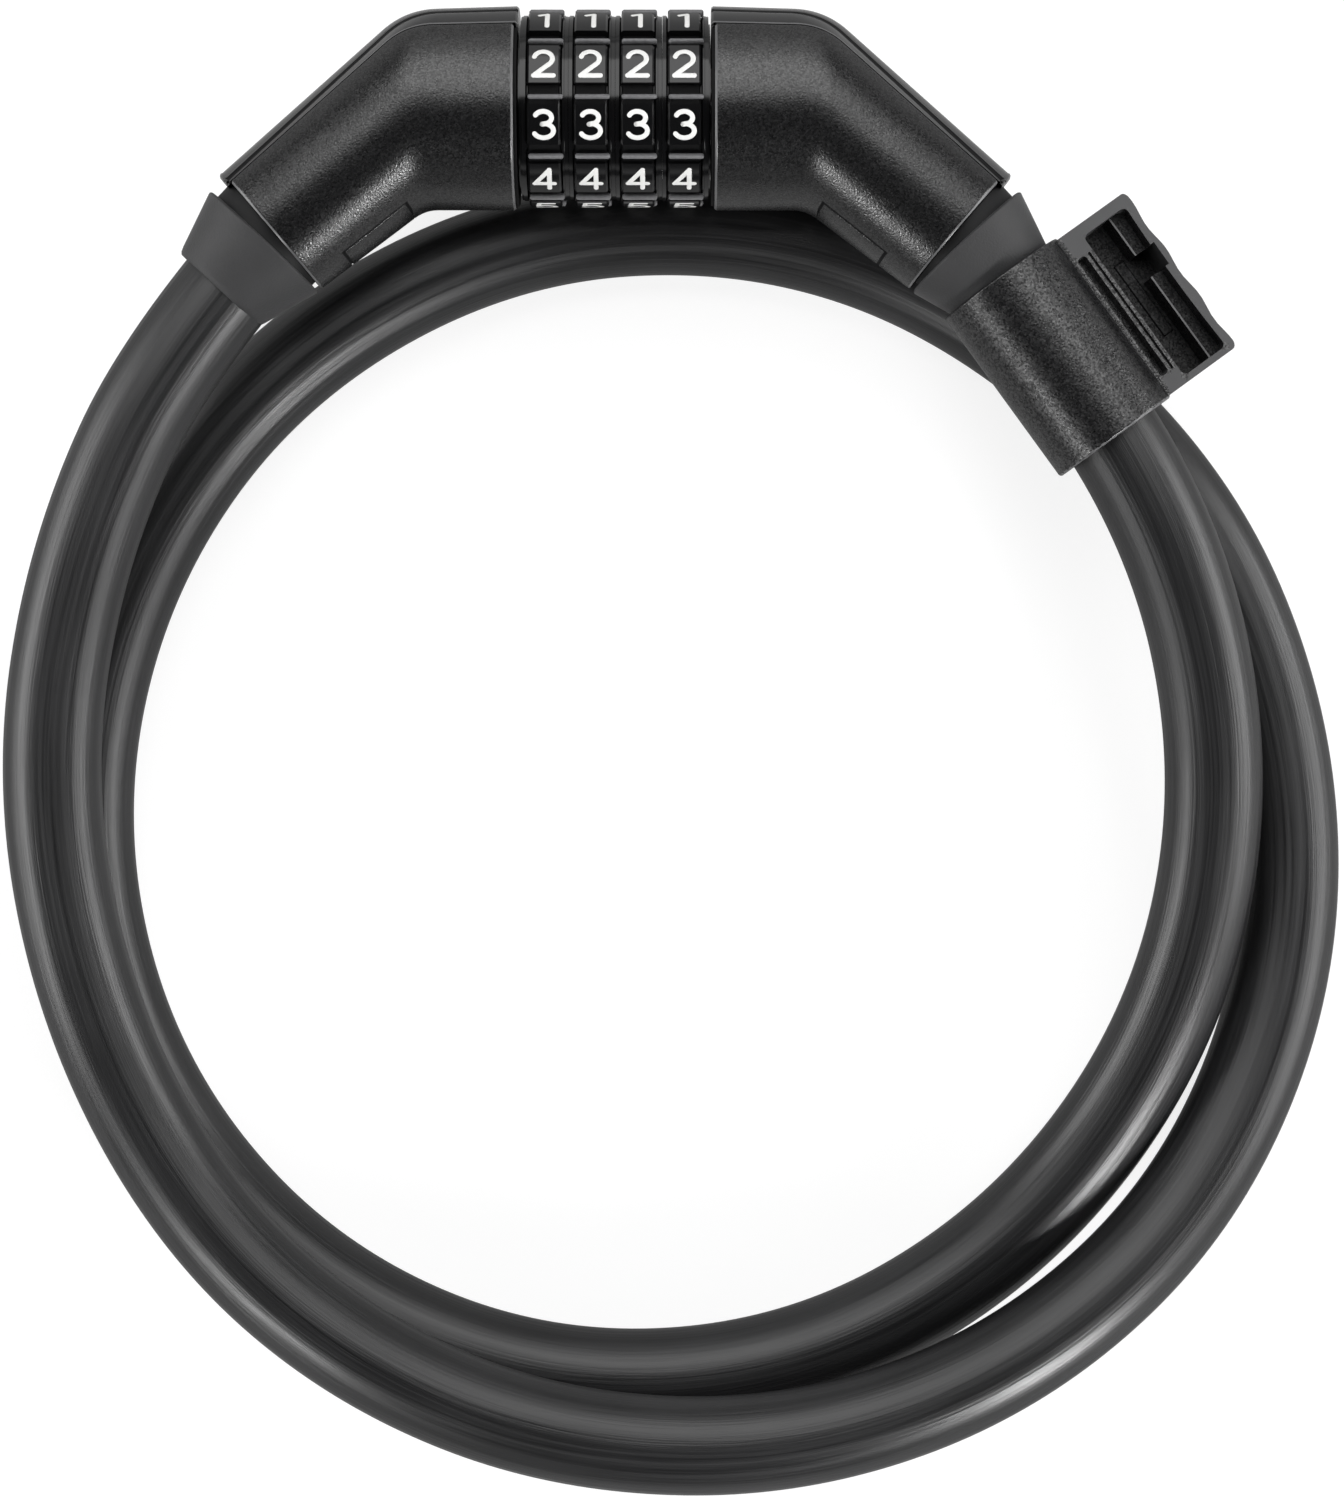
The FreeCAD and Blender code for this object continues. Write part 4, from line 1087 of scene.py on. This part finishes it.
def round_corners(bm, low, high, ends, size):
    """Round the upright corners between two heights, at either end of a hollow or block."""
    sharp = []
    for edge in bm.edges:
        bottom, top = sorted(vertex.co.z for vertex in edge.verts)
        upright = (edge.verts[0].co - edge.verts[1].co).xy.length < NEAR
        at_end = min(abs(edge.verts[0].co.x - end) for end in ends) < NEAR
        if upright and at_end and abs(bottom - low) < NEAR and abs(top - high) < NEAR:
            if len(edge.link_faces) == 2 and edge.calc_face_angle() > math.radians(SHARP_CORNER):
                sharp.append(edge)
    bmesh.ops.bevel(bm, geom=sharp, offset=size, offset_type="OFFSET", affect="EDGES", segments=4,
                    profile=0.5, material=-1)


def sink(bm, faces, depth):
    """Push faces down into the head, leaving walls round them."""
    extruded = bmesh.ops.extrude_face_region(bm, geom=faces)["geom"]
    bmesh.ops.delete(bm, geom=faces, context="FACES_ONLY")
    moved = [item for item in extruded if isinstance(item, bmesh.types.BMVert)]
    bmesh.ops.translate(bm, vec=(0, 0, -depth), verts=moved)


# The rim and both ends of the head get the satin nylon painted greyer as a highlight, and the strip
# between slot and pocket is grained
materials = [holder_plastic, rim_highlight_nylon, pocket_shade_plastic, edge_highlight_plastic]
for face in bm.faces:
    x, y, z = face.calc_center_median()
    beside_slot = y < POCKET_INNER and not SLOT_START < x < SLOT_END
    in_pocket = POCKET_START < x < POCKET_END and y < POCKET_OUTER - POCKET_BOW
    beside_pocket = y > POCKET_INNER and not in_pocket
    if y > SLOT_INNER and (beside_slot or beside_pocket):
        paint([face], materials, rim_highlight_nylon)

# The pocket goes down to a ledge along its outer wall, and inside that to its floor. The latch's
# gap cuts through ledge and wall. The slot and the groove beside it are shallower.
ledge_level, floor_level = HEAD_TOP - LEDGE_DEPTH, HEAD_TOP - POCKET_DEPTH
pocket = inside(bm, (POCKET_START, POCKET_INNER), (POCKET_END, POCKET_OUTER - POCKET_BOW))
latch = inside(bm, (LATCH_START, POCKET_OUTER - POCKET_BOW), (LATCH_END, LATCH_REACH))
sink(bm, pocket + latch, LEDGE_DEPTH)
round_corners(bm, ledge_level, HEAD_TOP, (POCKET_START, POCKET_END), POCKET_CORNER)
pocket = inside(bm, (POCKET_START, POCKET_INNER), (POCKET_END, LEDGE_INNER), ledge_level)
latch = inside(bm, (LATCH_START, LEDGE_INNER), (LATCH_END, LATCH_REACH), ledge_level)
sink(bm, pocket + latch, POCKET_DEPTH - LEDGE_DEPTH)
for inner, outer, depth, corner in ((SLOT_INNER, SLOT_OUTER, SLOT_DEPTH, SLOT_CORNER),
                                    (GROOVE_INNER, GROOVE_OUTER, GROOVE_DEPTH, GROOVE_CORNER)):
    sink(bm, inside(bm, (SLOT_START, inner), (SLOT_END, outer)), depth)
    round_corners(bm, HEAD_TOP - depth, HEAD_TOP, (SLOT_START, SLOT_END), corner)
# The ledge and the pocket's floor get the painted pocket shade
for level in (ledge_level, floor_level):
    bottom = inside(bm, (POCKET_START, POCKET_INNER), (POCKET_END, LATCH_REACH), level)
    paint(bottom, materials, pocket_shade_plastic)
# A thin line along the ledge's inner edge is painted lighter grey as an edge highlight
ledge_highlight_faces = inside(bm, (POCKET_START, LEDGE_INNER), (POCKET_END, LEDGE_INNER + LEDGE_EDGE), ledge_level)
paint(ledge_highlight_faces, materials, edge_highlight_plastic)
panel = inside(bm, (PANEL_START, PANEL_INNER), (PANEL_END, PANEL_OUTER), floor_level)
bmesh.ops.inset_region(bm, faces=panel, thickness=PANEL_BORDER, depth=PANEL_RAISED, use_even_offset=True)

# The outer walls go down to the back. The one beside the collar slants out from under it, clear of
# the cable's lower turn and the boot when the holder is turned.
border = [edge for edge in bm.edges if edge.is_boundary]
walls = bmesh.ops.extrude_edge_only(bm, edges=border)["geom"]
for vertex in [item for item in walls if isinstance(item, bmesh.types.BMVert)]:
    vertex.co.z = HEAD_BOTTOM
    vertex.co.y = max(vertex.co.y, ROOT_FOOT)
bmesh.ops.remove_doubles(bm, verts=bm.verts, dist=MERGED)
back = bmesh.ops.contextual_create(bm, geom=[edge for edge in bm.edges if edge.is_boundary])["faces"]
# The head's back gets the same painted-shade copy of the grain
paint(back, materials, pocket_shade_plastic)
round_corners(bm, HEAD_BOTTOM, HEAD_TOP, (HEAD_START, HEAD_END), HEAD_CORNER)
head = finish_mesh(bm, "holder_head", materials, place=HOLDER_PLACE)
soften(head, HOLDER_EDGE, 3)
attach(head, "holder")


# Inner pieces. What the wheels, housings and holder hide, finished as the real ones are: turned
# brass rings, ground steel bolt, pins, barrel, spring and rope ends, slippery washers, a rubber sleeve.
TOOL_MARK_LENGTH_MM = 25


def inner_metal(name, colour, rough, lines_mm):
    """Turned or ground metal with fine tool marks round the wheels' axis."""
    metal, tree, coords = new_material(name)
    length = per_mm(TOOL_MARK_LENGTH_MM)
    squeezed = add(tree, "ShaderNodeMapping", {"Scale": (per_mm(lines_mm), length, length)},
                   {"Vector": coords.outputs["Object"]})
    tool_marks = add(tree, "ShaderNodeTexNoise", {"Scale": 1.0, "Detail": 3.0},
                     {"Vector": squeezed.outputs[0]})
    gloss = spread(tree, tool_marks.outputs[0], rough * 0.7, rough * 1.3)
    skin(tree, {"Base Color": linear(colour), "Metallic": 1.0}, {"Roughness": gloss},
         tool_marks.outputs[0], 0.01)
    return metal


turned_brass = inner_metal("turned_brass", "#c8a45c", rough=0.30, lines_mm=0.3)
ground_steel = inner_metal("ground_steel", "#b9bbbe", rough=0.32, lines_mm=0.2)
# Matt black rubber, finely pitted by its mould
sleeve_rubber = grained_plastic("matt_rubber", "#161616", 0.5, depth_mm=0.01, rough=0.7, speckle=0.1)
FINISHES = {
    "ring_brass": turned_brass,
    "hard_steel": ground_steel,
    "liner_rubber": sleeve_rubber,
    "washer_plastic": gloss_plastic,
}
slots = {entry["node"]: entry["material_slot"] for entry in frame["record"]["subparts"]}
for name, shown in frame["nodes"].items():
    finish = FINISHES.get(slots[name])
    if finish is not None:
        shown.data.materials.clear()
        shown.data.materials.append(finish)
